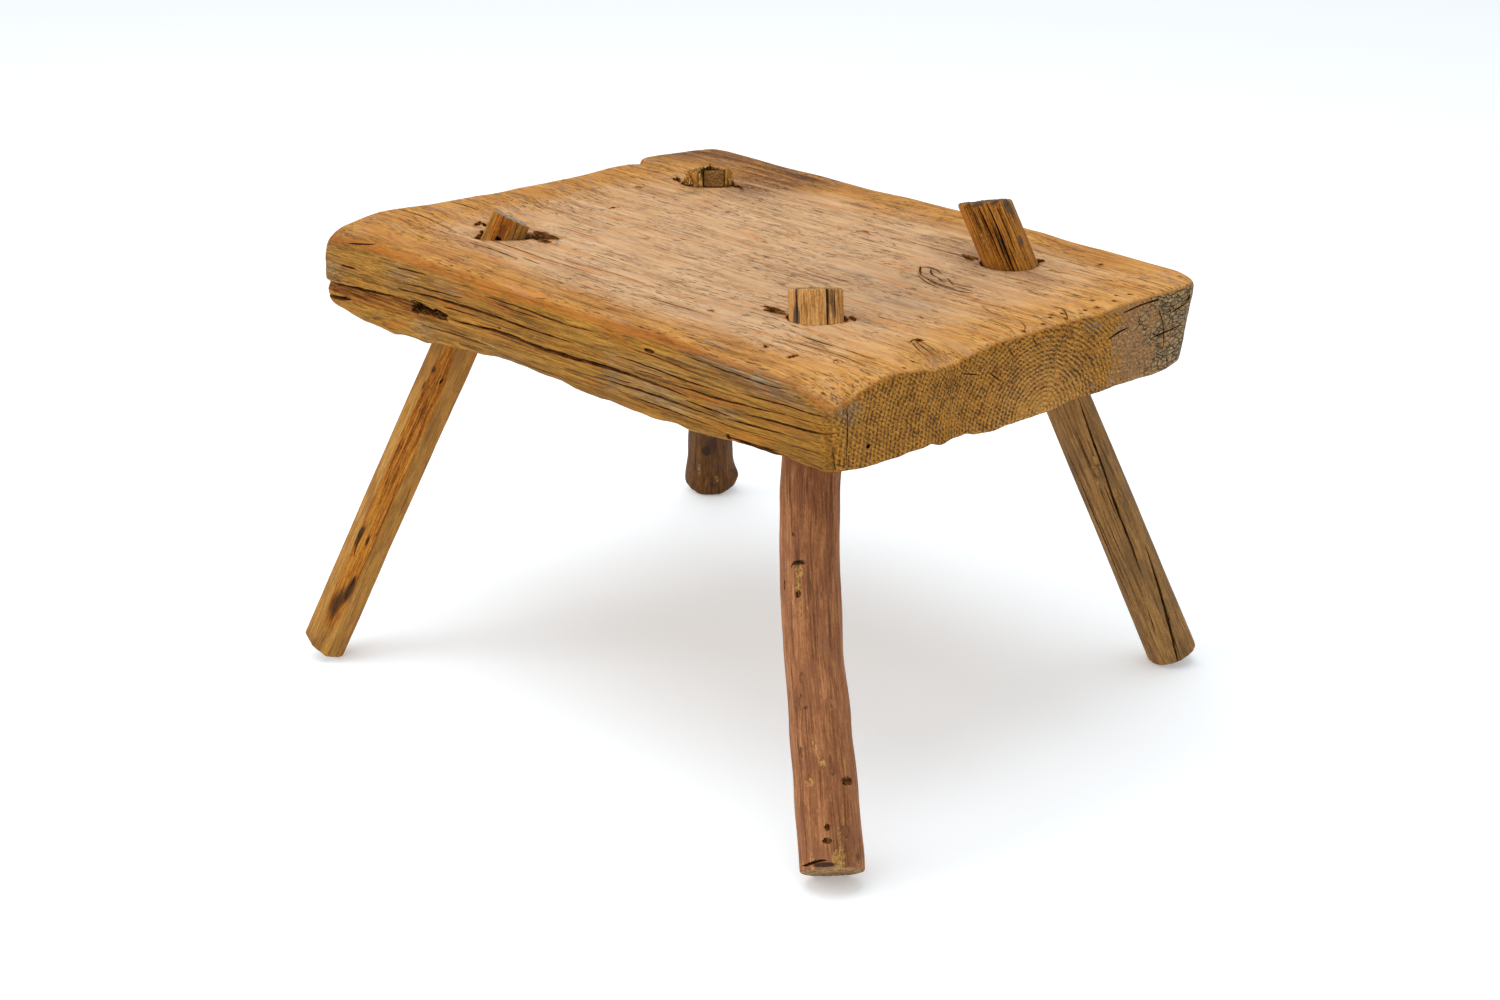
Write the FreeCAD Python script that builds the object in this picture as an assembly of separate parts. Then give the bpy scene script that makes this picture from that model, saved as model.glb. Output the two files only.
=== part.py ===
import FreeCAD, Part
import math
import os

# Rustic milking stool, millimetres, +Z up, floor at Z = 0.
#
# A thick plank seat is bored through at a slant in four places. Each leg is a stake whose
# upper end is shaved to a tenon, driven up through its bore, and left standing proud of the
# seat. The back leg's tenon is split and spread by a wedge. The seat's grain runs along X.
# Everything is laid out about the middle of the seat, and the whole stool is then moved so
# that the origin is on the floor under the middle of its bounding box.

Vector = FreeCAD.Vector
UP = Vector(0, 0, 1)
FACING = math.radians(47.0)
ASIDE = Vector(math.cos(FACING), math.sin(FACING), 0)
AWAY = Vector(-math.sin(FACING), math.cos(FACING), 0)

# Seat plank. Each corner of its plan has a side along X and Y, how far it stands outside
# the nominal rectangle, and the radius it is rounded to.
SEAT_LENGTH = 440.0
SEAT_WIDTH = 308.0
SEAT_THICKNESS = 50.0
SEAT_TOP = 265.0
CORNERS = (
    {"side": (-1, -1), "out": (6.5, 6.0), "radius": 14.0},
    {"side": (1, -1), "out": (0.0, -1.0), "radius": 9.0},
    {"side": (1, 1), "out": (4.0, 1.0), "radius": 26.0},
    {"side": (-1, 1), "out": (1.0, 2.0), "radius": 22.0},
)
TOP_ARRIS = 8.0
BOTTOM_ARRIS = 5.0

# The corner between the front and right legs is worn down; the one behind it is undercut.
WORN_DROP = 11.0
WORN_REACH = 38.0
UNDERCUT_REACH = 8.5

# Hollow where a knot fell out of the front edge, the shake that runs into it from the left,
# and the long drying check on its right
KNOT_X = -121.0
KNOT_BELOW_TOP = 32.5
KNOT_RADIUS = 15.0
KNOT_HEIGHT = 9.0
SHAKE_LENGTH = 102.0
SHAKE_HEIGHT = 3.0
SHAKE_DEPTH = 7.0
CHECK_BELOW_TOP = 29.0
CHECK_LENGTH = 210.0
CHECK_WIDTH = 1.6
CHECK_DEPTH = 9.0

# Legs. seat is where the axis crosses the top face and foot is where it meets the sawn end,
# both from the middle of the seat; stub is how far the tenon stands proud along the axis.
# top_slope and foot_slope turn a sawn end: its normal leans this much along ASIDE and AWAY
# for each unit up. Each section of the stake is a share of the way from shoulder to foot,
# a radius, and a sideways bow along ASIDE.
LEGS = {
    "leg_front": {
        "seat": (126.5, -74.0),
        "foot": (248.5, -178.0, 8.6),
        "stub": 18.2,
        "top_slope": (0.0, 0.29),
        "foot_slope": (-0.04, 0.74),
        "tenon_radius": 15.2,
        "sections": (
            (0.03, 16.6, -4.2),
            (0.17, 16.6, -6.8),
            (0.33, 16.4, -7.8),
            (0.50, 16.3, -7.2),
            (0.67, 16.9, -4.8),
            (0.83, 17.3, -2.4),
            (1.00, 17.2, -0.4),
        ),
    },
    "leg_right": {
        "seat": (123.0, 90.0),
        "foot": (190.5, 182.0, 5.0),
        "stub": 42.0,
        "top_slope": (-0.12, 0.25),
        "foot_slope": (-0.40, -0.05),
        "tenon_radius": 15.2,
        "sections": ((0.10, 14.2, 0.0), (0.50, 14.6, 0.0), (1.00, 15.4, 0.0)),
    },
    "leg_back": {
        "seat": (-141.0, 87.5),
        "foot": (-238.5, 174.5, 8.0),
        "stub": 14.0,
        "top_slope": (0.0, 0.14),
        "foot_slope": (0.0, -0.50),
        "tenon_radius": 16.2,
        "sections": ((0.10, 15.4, 0.0), (0.70, 15.6, 0.0), (0.88, 16.6, 0.0), (1.00, 19.0, 0.0)),
    },
    "leg_left": {
        "seat": (-126.0, -96.5),
        "foot": (-185.3, -206.0, 7.9),
        "stub": 12.6,
        "top_slope": (0.58, 0.18),
        "foot_slope": (0.75, -0.10),
        "tenon_radius": 15.2,
    },
}
SHOULDER_GAP = 0.6
FOOT_CHAMFER = 1.6

# The left leg is shaved to flats that meet at these angles, in degrees about its axis from
# the side that faces away from the stool's middle. It is thickest inside the seat, where it
# jams in its bore.
FLAT_EDGES = (-62.0, -8.0, 34.0, 92.0, 150.0, 204.0, 252.0)
FLAT_TOP_RADIUS = 13.8
FLAT_STAKE_RADIUS = 14.8

# Each bore's mouth is worn wider at the top face. Torn grain reaches on along -X and +X
# from the bore's wall.
MOUTH_WEAR = 2.2
MOUTH_DEPTH = 4.0
TEAR_OUTS = {
    "leg_front": (21.0, 5.0),
    "leg_right": (13.0, 9.0),
    "leg_back": (5.0, 7.0),
    "leg_left": (9.0, 17.0),
}
TEAR_DEPTH = 9.0
TEAR_WIDTH = 9.0

# The back tenon's split, off the tenon's middle towards ASIDE, and the wedge in it
SPLIT_OFFSET = 3.5
SPLIT_TOP_WIDTH = 18.5
SPLIT_FOOT_WIDTH = 3.0
SPLIT_DEPTH = 46.0
WEDGE_TOP_WIDTH = 14.0
WEDGE_GRIP_DEPTH = 20.0
WEDGE_SUNK = 8.0

HUGE = 1000.0


def leg_axis(leg):
    """Where a leg's axis crosses the seat's top face, the unit vector down it, and its length."""
    start = Vector(leg["seat"][0], leg["seat"][1], SEAT_TOP)
    run = Vector(*leg["foot"]) - start
    length = run.Length
    return start, run.normalize(), length


def lean(down):
    """The tangent of the angle between a leg and the vertical."""
    return math.hypot(down.x, down.y) / -down.z


def beyond(point, outward):
    """A huge block on the outward side of the plane through point."""
    block = Part.makeBox(HUGE, HUGE, HUGE, Vector(-HUGE / 2, -HUGE / 2, 0))
    block.Placement = FreeCAD.Placement(point, FreeCAD.Rotation(UP, outward))
    return block


def sawn_normal(slope):
    """The upward normal of a sawn end that leans along ASIDE and AWAY."""
    return UP + ASIDE * slope[0] + AWAY * slope[1]


def prism(points, direction):
    """A straight-sided polygon extruded along a direction."""
    return Part.Face(Part.makePolygon(points + points[:1])).extrude(direction)


def corner_point(corner, level):
    """A corner of the seat's plan before it is rounded."""
    side_x, side_y = corner["side"]
    out_x, out_y = corner["out"]
    return Vector(side_x * (SEAT_LENGTH / 2 + out_x), side_y * (SEAT_WIDTH / 2 + out_y), level)


def outline(level):
    """The seat's plan as a wire: four straight edges joined by tangent arcs."""
    points = [corner_point(corner, level) for corner in CORNERS]
    arcs = []
    for index, corner in enumerate(CORNERS):
        point = points[index]
        back = (points[index - 1] - point).normalize()
        onward = (points[(index + 1) % len(points)] - point).normalize()
        half_angle = back.getAngle(onward) / 2
        radius = corner["radius"]
        trim = radius / math.tan(half_angle)
        middle = point + (back + onward).normalize() * (radius / math.sin(half_angle) - radius)
        arcs.append(Part.Arc(point + back * trim, middle, point + onward * trim))
    edges = []
    for arc, following in zip(arcs, arcs[1:] + arcs[:1]):
        edges.append(arc.toShape())
        edges.append(Part.LineSegment(arc.EndPoint, following.StartPoint).toShape())
    return Part.Wire(edges)


def edges_at(shape, level):
    """The edges of a shape that lie in the plane Z = level."""
    near = 1e-6
    return [e for e in shape.Edges if all(abs(v.Z - level) < near for v in e.Vertexes)]


def plank():
    """The seat before it is bored: rounded plan, eased arrises, worn and undercut corners."""
    underside = SEAT_TOP - SEAT_THICKNESS
    body = Part.Face(outline(underside)).extrude(UP * SEAT_THICKNESS)
    body = body.makeFillet(TOP_ARRIS, edges_at(body, SEAT_TOP))
    body = body.makeFillet(BOTTOM_ARRIS, edges_at(body, underside))

    worn = corner_point(CORNERS[1], SEAT_TOP - WORN_DROP)
    body = body.cut(beyond(worn, Vector(WORN_DROP, -WORN_DROP, WORN_REACH)))

    undercut = CORNERS[2]
    inset = undercut["radius"] * (1 - math.sqrt(0.5))
    tangent = corner_point(undercut, SEAT_TOP - TOP_ARRIS) - Vector(inset, inset, 0)
    diagonal = Vector(1, 1, 0).normalize()
    fall = SEAT_THICKNESS - TOP_ARRIS
    return body.cut(beyond(tangent, diagonal * fall - UP * UNDERCUT_REACH))


def edge_flaws():
    """What is missing from the front edge: a lens-shaped knot, a shake and a drying check."""
    face_y = -SEAT_WIDTH / 2
    outside_y = face_y - CORNERS[0]["out"][1] - 1
    z = SEAT_TOP - KNOT_BELOW_TOP
    centre = Vector(KNOT_X, face_y - 1, z)
    half_height = KNOT_HEIGHT / 2
    ball_radius = (KNOT_RADIUS**2 + half_height**2) / KNOT_HEIGHT
    rise = UP * (ball_radius - half_height)
    knot = Part.makeSphere(ball_radius, centre + rise)
    knot = knot.common(Part.makeSphere(ball_radius, centre - rise))

    start = KNOT_X - SHAKE_LENGTH
    mouth = [
        Vector(start, outside_y, z + SHAKE_HEIGHT),
        Vector(KNOT_X, outside_y, z + SHAKE_HEIGHT / 2),
        Vector(KNOT_X, outside_y, z - SHAKE_HEIGHT / 2),
        Vector(start, outside_y, z),
    ]
    shake = prism(mouth, Vector(0, face_y - outside_y + SHAKE_DEPTH, 0))

    z = SEAT_TOP - CHECK_BELOW_TOP
    middle = KNOT_X + CHECK_LENGTH / 2
    mouth = [
        Vector(KNOT_X, outside_y, z),
        Vector(middle, outside_y, z - CHECK_WIDTH / 2),
        Vector(KNOT_X + CHECK_LENGTH, outside_y, z - CHECK_WIDTH),
        Vector(middle, outside_y, z + CHECK_WIDTH / 2),
    ]
    check = prism(mouth, Vector(0, face_y - outside_y + CHECK_DEPTH, 0))
    return [knot, shake, check]


def bore(leg):
    """The slanting hole for one leg, right through the plank."""
    start, down, _ = leg_axis(leg)
    radius = leg["tenon_radius"]
    overrun = 3 * radius
    length = SEAT_THICKNESS / -down.z + 2 * overrun
    return Part.makeCylinder(radius, length, start - down * overrun, down)


def worn_mouth(leg):
    """The widened mouth of a bore: a loft between the ellipses that the bore cuts."""
    start, down, _ = leg_axis(leg)
    along = Vector(down.x, down.y, 0).normalize()
    across = UP.cross(along)
    rings = []
    for rise, extra in ((-MOUTH_DEPTH, 0.0), (0.0, MOUTH_WEAR), (MOUTH_DEPTH, 2 * MOUTH_WEAR)):
        centre = start + down * (rise / down.z)
        major = leg["tenon_radius"] / -down.z + extra
        minor = leg["tenon_radius"] + extra
        ellipse = Part.Ellipse(centre + along * major, centre + across * minor, centre)
        rings.append(Part.Wire(ellipse.toShape()))
    return Part.makeLoft(rings, True, True)


def tear_out(leg, reaches):
    """The splinters lost along the grain on both sides of a bore, at the top face."""
    start, down, _ = leg_axis(leg)
    wall = leg["tenon_radius"] / -down.z
    above = start + UP
    corners = [
        above - Vector(wall + reaches[0], 0, 0),
        above - Vector(0, TEAR_WIDTH / 2, 0),
        above + Vector(wall + reaches[1], 0, 0),
        above + Vector(0, TEAR_WIDTH / 2, 0),
    ]
    return prism(corners, -UP * (TEAR_DEPTH + 1))


def seat_slab():
    body = plank().cut(edge_flaws())
    for name, leg in LEGS.items():
        body = body.cut([bore(leg), worn_mouth(leg), tear_out(leg, TEAR_OUTS[name])])
    return body


def finish_ends(leg, stake):
    """Saw a leg's top and foot to their slopes and wear the foot flat on the floor."""
    start, down, _ = leg_axis(leg)
    top = beyond(start - down * leg["stub"], sawn_normal(leg["top_slope"]))
    foot = beyond(Vector(*leg["foot"]), -sawn_normal(leg["foot_slope"]))
    ground = beyond(Vector(0, 0, 0), -UP)
    return stake.cut([top, foot, ground])


def round_leg(leg):
    """A tenon that fits its bore, then the stake through circles that may bow aside."""
    start, down, length = leg_axis(leg)
    radius = leg["tenon_radius"]
    spare = 2 * radius
    shoulder = SEAT_THICKNESS / -down.z + radius * lean(down) + SHOULDER_GAP
    tenon_top = start - down * (leg["stub"] + spare)
    tenon = Part.makeCylinder(radius, leg["stub"] + spare + shoulder, tenon_top, down)

    aside = ASIDE - down * ASIDE.dot(down)
    rings = [Part.Wire(Part.makeCircle(radius, start + down * shoulder, down))]
    for share, size, bow in leg["sections"]:
        centre = start + down * (shoulder + (length - shoulder) * share) + aside * bow
        rings.append(Part.Wire(Part.makeCircle(size, centre, down)))
    stake = Part.makeLoft(rings, True, False)
    end = Part.makeCone(size, size - FOOT_CHAMFER, spare / 2, start + down * length, down)
    return finish_ends(leg, tenon.fuse([stake, end]).removeSplitter())


def flat_ring(leg, along, size):
    """One closed ring of the left leg's flats, at a distance down its axis."""
    start, down, _ = leg_axis(leg)
    level = Vector(down.x, down.y, 0).normalize()
    outward = (level - down * level.dot(down)).normalize()
    sideways = down.cross(outward)
    corners = []
    for turn in FLAT_EDGES:
        angle = math.radians(turn)
        spoke = outward * math.cos(angle) + sideways * math.sin(angle)
        corners.append(start + down * along + spoke * size)
    return Part.makePolygon(corners + corners[:1])


def flat_leg(leg):
    """The left leg: a billet shaved to seven flats that jams part way down its bore."""
    _, down, length = leg_axis(leg)
    radius = leg["tenon_radius"]
    through = SEAT_THICKNESS / -down.z
    rings = [
        flat_ring(leg, -leg["stub"] - 2 * radius, FLAT_TOP_RADIUS),
        flat_ring(leg, 0.0, FLAT_TOP_RADIUS),
        flat_ring(leg, through / 2, radius),
        flat_ring(leg, through + radius, FLAT_STAKE_RADIUS),
        flat_ring(leg, length + radius, FLAT_STAKE_RADIUS),
    ]
    return finish_ends(leg, Part.makeLoft(rings, True, True))


def split_frame():
    """Where the back tenon's split starts, and its directions down, across and along."""
    leg = LEGS["leg_back"]
    start, down, _ = leg_axis(leg)
    across = (ASIDE - down * ASIDE.dot(down)).normalize()
    top = start - down * leg["stub"] + across * SPLIT_OFFSET
    return top, down, across, down.cross(across)


def tapered_block(levels, reach):
    """A block in the split from pairs of depth and width, reaching as far to each side."""
    top, down, across, along = split_frame()
    near_side = top - along * reach
    left = [near_side + down * depth - across * (width / 2) for depth, width in levels]
    right = [near_side + down * depth + across * (width / 2) for depth, width in levels]
    return prism(left + right[::-1], along * 2 * reach)


def split_width(depth):
    """The split's width at a depth below the tenon's top."""
    return SPLIT_TOP_WIDTH + (SPLIT_FOOT_WIDTH - SPLIT_TOP_WIDTH) * depth / SPLIT_DEPTH


def split_leg(leg):
    """The back leg, with its tenon split for the wedge."""
    reach = 2 * leg["tenon_radius"]
    levels = [(-reach, split_width(-reach)), (SPLIT_DEPTH, SPLIT_FOOT_WIDTH)]
    return round_leg(leg).cut(tapered_block(levels, reach))


def tenon_wedge(leg):
    """The wedge in the back tenon: it grips the split's lower part and stands free above."""
    top, down, _, _ = split_frame()
    radius = leg["tenon_radius"]
    levels = [
        (-radius, WEDGE_TOP_WIDTH),
        (WEDGE_GRIP_DEPTH, split_width(WEDGE_GRIP_DEPTH)),
        (SPLIT_DEPTH, SPLIT_FOOT_WIDTH),
    ]
    start, _, _ = leg_axis(leg)
    inside_bore = Part.makeCylinder(radius, HUGE, start - down * HUGE / 2, down)
    block = tapered_block(levels, 2 * radius).common(inside_bore)
    return block.cut(beyond(top + down * WEDGE_SUNK, sawn_normal(leg["top_slope"])))


def build():
    shapes = {
        "seat_slab": seat_slab(),
        "leg_front": round_leg(LEGS["leg_front"]),
        "leg_right": round_leg(LEGS["leg_right"]),
        "leg_back": split_leg(LEGS["leg_back"]),
        "leg_left": flat_leg(LEGS["leg_left"]),
        "tenon_wedge": tenon_wedge(LEGS["leg_back"]),
    }
    box = FreeCAD.BoundBox()
    for shape in shapes.values():
        box.add(shape.optimalBoundingBox(False))
    shift = Vector(-box.Center.x, -box.Center.y, 0)
    os.makedirs("parts", exist_ok=True)
    for name, shape in shapes.items():
        shape.translate(shift)
        shape.exportStep(os.path.join("parts", name + ".step"))
        volume = shape.Volume / 1000
        print(f"{name}: {len(shape.Solids)} solid, valid {shape.isValid()}, {volume:.1f} cm3")
    size = f"{box.XLength:.1f} x {box.YLength:.1f} x {box.ZLength:.1f}"
    print(f"seat middle at {shift.x:.3f}, {shift.y:.3f}; box {size}, lowest {box.ZMin:.4f}")


build()
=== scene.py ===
import math

import bmesh
import bpy
import numpy as np
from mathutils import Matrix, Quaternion, Vector


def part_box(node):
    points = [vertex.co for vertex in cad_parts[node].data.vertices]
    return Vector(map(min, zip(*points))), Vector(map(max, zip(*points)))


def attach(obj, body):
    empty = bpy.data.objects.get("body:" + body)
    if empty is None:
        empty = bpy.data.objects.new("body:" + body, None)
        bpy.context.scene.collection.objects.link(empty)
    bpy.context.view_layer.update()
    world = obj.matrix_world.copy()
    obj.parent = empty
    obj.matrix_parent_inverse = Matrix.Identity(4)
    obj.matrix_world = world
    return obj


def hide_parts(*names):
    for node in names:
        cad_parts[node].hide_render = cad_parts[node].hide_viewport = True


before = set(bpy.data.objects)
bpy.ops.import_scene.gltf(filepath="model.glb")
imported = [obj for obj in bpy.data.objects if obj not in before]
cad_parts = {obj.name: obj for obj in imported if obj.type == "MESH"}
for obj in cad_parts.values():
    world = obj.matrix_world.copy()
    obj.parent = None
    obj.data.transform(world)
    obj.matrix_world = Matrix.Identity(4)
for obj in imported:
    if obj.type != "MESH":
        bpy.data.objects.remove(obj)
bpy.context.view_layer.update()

# A rustic milking stool: a hewn plank on four staked legs, one of them wedged.
# Shapes are worked out in millimetres about the middle of the seat, with X along the seat's
# grain and Z up from the floor, and moved to the row frame in metres as they become meshes.

UP = np.array([0.0, 0.0, 1.0])
FACING = math.radians(47.0)
ASIDE = np.array([math.cos(FACING), math.sin(FACING), 0.0])
AWAY = np.array([-math.sin(FACING), math.cos(FACING), 0.0])

# The seat's extents about its middle, which place the stool in the row frame
SEAT_LEFT = -226.25
SEAT_BACK = 155.95
HALF_LENGTH = 220.0
HALF_WIDTH = 154.0

seat_low, seat_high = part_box("seat_slab")
SEAT_TOP = seat_high.z * 1000
THICKNESS = (seat_high.z - seat_low.z) * 1000
SHIFT = np.array([seat_low.x * 1000 - SEAT_LEFT, seat_high.y * 1000 - SEAT_BACK, 0.0])

# Plan corners: side of each axis, how far it stands out, and the radius of its rounding
CORNERS = {
    "left": ((-1, -1), (6.5, 6.0), 14.0),
    "front": ((1, -1), (0.0, -1.0), 10.0),
    "right": ((1, 1), (4.0, 1.0), 26.0),
    "back": ((-1, 1), (1.0, 2.0), 22.0),
}

# Legs as in the CAD, except that the left and back tenons end 1.6 mm higher and the left one
# slopes a little less: where the axis crosses the seat's top and meets the sawn foot, how far
# the tenon stands proud, the share of its near side that paring left, how the sawn ends slope
# along ASIDE and AWAY, the tenon's radius, and the stake's sections as a share of its length,
# a radius and a sideways bow.
LEGS = {
    "leg_front": {
        "seat": (126.5, -74.0),
        "foot": (248.5, -178.0, 8.6),
        "stub": 18.2,
        "pared": 0.55,
        "top_slope": (0.0, 0.29),
        "foot_slope": (-0.04, 0.74),
        "radius": 15.2,
        "sections": (
            (0.0, 16.2, -3.6), (0.03, 16.6, -4.2), (0.17, 16.6, -6.8), (0.33, 16.4, -7.8),
            (0.50, 16.3, -7.2), (0.67, 16.9, -4.8), (0.83, 17.3, -2.4), (1.00, 17.2, -0.4),
        ),
    },
    "leg_right": {
        "seat": (123.0, 90.0),
        "foot": (190.5, 182.0, 5.0),
        "stub": 42.0,
        "pared": 1.0,
        "top_slope": (-0.12, 0.25),
        "foot_slope": (-0.40, -0.05),
        "radius": 15.2,
        "sections": ((0.0, 14.2, 0.0), (0.10, 14.2, 0.0), (0.50, 14.6, 0.0), (1.00, 15.4, 0.0)),
    },
    "leg_back": {
        "seat": (-141.0, 87.5),
        "foot": (-238.5, 174.5, 8.0),
        "stub": 15.6,
        "pared": 0.5,
        "top_slope": (0.0, 0.14),
        "foot_slope": (0.0, -0.50),
        "radius": 16.2,
        "sections": ((0.0, 15.4, 0.0), (0.70, 15.6, 0.0), (0.88, 16.6, 0.0), (1.00, 19.0, 0.0)),
    },
    "leg_left": {
        "seat": (-126.0, -96.5),
        "foot": (-185.3, -206.0, 7.9),
        "stub": 14.2,
        "pared": 0.48,
        "top_slope": (0.52, 0.18),
        "foot_slope": (0.75, -0.10),
        "radius": 15.2,
        "sections": ((0.0, 14.8, 0.0), (1.00, 14.8, 0.0)),
    },
}
# Angles of the arrises on the left leg, and how far every foot stays above the floor
FLAT_EDGES = (-90.0, -45.0, 0.0, 44.0, 94.0, 150.0, 212.0)
FLOOR_GAP = 0.02

# How much wider than its tenon a bore is, as a radius
BORE_EASE = 0.35

# The back tenon's split and its wedge: places down from the tenon's end, and widths
SPLIT_OFFSET = 3.5
SPLIT_TOP_WIDTH = 18.5
SPLIT_FOOT_WIDTH = 3.0
SPLIT_DEPTH = 46.0
WEDGE_TOP_WIDTH = 14.0
WEDGE_GRIP_DEPTH = 20.0
WEDGE_SUNK = 8.0
WEDGE_EASE = 0.3
WEDGE_TIP = (44.0, 3.2)
# How far the split and the wedge reach towards the viewer and away
SPLIT_REACH = (32.0, 9.0)
WEDGE_REACH = (7.6, 8.6)

# The camera about the seat's middle, as fitted to the photo's viewpoint: degrees and millimetres
CAMERA_AZIMUTH = 47.10
CAMERA_PITCH = 21.10
CAMERA_ROLL = 0.14
CAMERA_PLACE = np.array([1095.8, -1025.1, 682.3])
CAMERA_LENS = 61.56
CAMERA_SENSOR = 36.0

# Studio light: the floor's shade and its own faint glow, the sky, and soft lamps as a name,
# a place, a size across and a power
FLOOR_SHADE = (0.86, 0.93, 0.985)
FLOOR_GLOW = 0.265
FLOOR_REACH = 12.0
LAMP_AIM = Vector((0, 0, 0.15))
SKY = 0.62
LAMPS = (
    ("overhead", (-0.25, -0.15, 2.0), 2.2, 24.0),
    ("key", (-1.3, -2.0, 1.4), 1.6, 17.0),
)


# ---------------------------------------------------------------- numbers and noise


def smooth(low, high, value):
    """0 below low and 1 above high, with a smooth rise between them."""
    t = np.clip((value - low) / (high - low), 0, 1)
    return t * t * (3 - 2 * t)


def lattice_value(cell, seed):
    """A fixed pseudo-random number from -1 to 1 for each whole-numbered cell."""
    mask = 0xFFFFFFFF
    h = (cell[..., 0] * 374761393 + cell[..., 1] * 668265263 + cell[..., 2] * 2147483647) & mask
    h = (h + seed * 1274126177) & mask
    h = ((h ^ (h >> 13)) * 1274126177) & mask
    h = ((h ^ (h >> 16)) * 2246822519) & mask
    return (h ^ (h >> 15)) / (mask / 2) - 1


def noise(points, seed=0):
    """Smooth value noise from -1 to 1 with features one unit across."""
    points = np.asarray(points, float)
    cell = np.floor(points).astype(np.int64)
    part = points - cell
    part = part * part * part * (part * (part * 6 - 15) + 10)
    total = 0
    for dx in (0, 1):
        for dy in (0, 1):
            for dz in (0, 1):
                corner = lattice_value(cell + np.array([dx, dy, dz]), seed)
                weight = np.abs(1 - dx - part[..., 0]) * np.abs(1 - dy - part[..., 1])
                total = total + corner * weight * np.abs(1 - dz - part[..., 2])
    return total


def layered(points, seed=0, octaves=3):
    """Noise summed over octaves, each half the size and strength of the last."""
    points = np.asarray(points, float)
    total, strength, scale = 0, 1.0, 1.0
    for octave in range(octaves):
        total = total + strength * noise(points * scale, seed + octave * 17)
        strength *= 0.5
        scale *= 2.03
    return total / 1.6


def waves(x, y, level, seed, octaves):
    """Layered noise over two numbers, at a level in the third direction."""
    return layered(np.stack([x, y, np.full_like(x, level)], -1), seed, octaves)


def line_noise(values, seed, octaves=2):
    """Layered noise along one number."""
    values = np.asarray(values, float)
    points = np.stack([values, np.full_like(values, 0.37), np.full_like(values, 0.71)], -1)
    return layered(points, seed, octaves)


def profile(pairs, value):
    """A curve that eases between (place, height) pairs."""
    places, heights = np.array(pairs, float).T
    index = np.clip(np.searchsorted(places, value) - 1, 0, len(places) - 2)
    t = np.clip((value - places[index]) / (places[index + 1] - places[index]), 0, 1)
    t = t * t * (3 - 2 * t)
    return heights[index] * (1 - t) + heights[index + 1] * t


def spot(points, centre, reach):
    """1 at a centre, falling off smoothly to 0 over a reach along each axis."""
    offset = (points - np.array(centre, float)) / np.array(reach, float)
    return np.exp(-np.sum(offset * offset, axis=-1))


def unit(vector):
    """A vector made one long."""
    vector = np.asarray(vector, float)
    return vector / np.linalg.norm(vector, axis=-1, keepdims=True)


# ---------------------------------------------------------------- meshes


def make_mesh(name, points, faces, slots=(), index=0):
    """A mesh object from points in millimetres about the seat's middle."""
    mesh = bpy.data.meshes.new(name)
    mesh.from_pydata(((points + SHIFT) / 1000).tolist(), [], [tuple(f) for f in faces])
    for material in slots:
        mesh.materials.append(material)
    mesh.polygons.foreach_set("material_index", [index] * len(mesh.polygons))
    mesh.update()
    made = bmesh.new()
    made.from_mesh(mesh)
    bmesh.ops.recalc_face_normals(made, faces=made.faces)
    made.to_mesh(mesh)
    made.free()
    obj = bpy.data.objects.new(name, mesh)
    bpy.context.scene.collection.objects.link(obj)
    return obj


def mesh_points(obj):
    """An object's vertices, in millimetres about the seat's middle."""
    co = np.empty(len(obj.data.vertices) * 3)
    obj.data.vertices.foreach_get("co", co)
    return co.reshape(-1, 3) * 1000 - SHIFT


def mesh_normals(obj):
    """The outward direction at each point of a mesh."""
    normals = np.empty(len(obj.data.vertices) * 3)
    obj.data.vertex_normals.foreach_get("vector", normals)
    return normals.reshape(-1, 3)


def bake_modifiers(obj):
    """Applies an object's modifiers."""
    graph = bpy.context.evaluated_depsgraph_get()
    mesh = bpy.data.meshes.new_from_object(obj.evaluated_get(graph))
    obj.modifiers.clear()
    obj.data = mesh


def apart(cutters):
    """Sorts (points, faces) solids into groups in which no two bounding boxes meet."""
    groups = []
    for solid in cutters:
        low, high = solid[0].min(0), solid[0].max(0)
        for boxes, solids in groups:
            if all(np.any(low > other_high) or np.any(high < other_low) for other_low, other_high in boxes):
                break
        else:
            boxes, solids = [], []
            groups.append((boxes, solids))
        boxes.append((low, high))
        solids.append(solid)
    return [solids for _, solids in groups]


def carve(obj, cutters, index=1):
    """Cuts away a list of (points, faces) solids; the cut faces take material slot index."""
    before = len(obj.data.vertices), len(obj.data.polygons)
    for group in apart(cutters):
        points, faces, start = [], [], 0
        for solid_points, solid_faces in group:
            points.append(solid_points)
            faces.extend([tuple(v + start for v in face) for face in solid_faces])
            start += len(solid_points)
        cutter = make_mesh("cutter", np.concatenate(points), faces, list(obj.data.materials), index)
        cut = obj.modifiers.new("cut", "BOOLEAN")
        cut.operation = "DIFFERENCE"
        cut.solver = "MANIFOLD"
        cut.material_mode = "INDEX"
        cut.object = cutter
        bake_modifiers(obj)
        bpy.data.objects.remove(cutter)
    if (len(obj.data.vertices), len(obj.data.polygons)) == before:
        raise RuntimeError(f"the cuts in {obj.name} changed nothing")


def set_attribute(obj, name, values):
    """Gives each vertex a number or a vector under a name."""
    values = np.asarray(values, np.float32)
    if values.ndim == 2:
        kind, field = "FLOAT_VECTOR", "vector"
    else:
        kind, field = "FLOAT", "value"
    obj.data.attributes.new(name, kind, "POINT").data.foreach_set(field, values.ravel())


def settle(obj, node, angle=38):
    """Shades a finished piece, and lets it stand for its CAD node."""
    obj.data.name = obj.name
    obj.data.polygons.foreach_set("use_smooth", [True] * len(obj.data.polygons))
    obj.data.set_sharp_from_angle(angle=math.radians(angle))
    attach(obj, "root")
    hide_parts(node)


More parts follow.
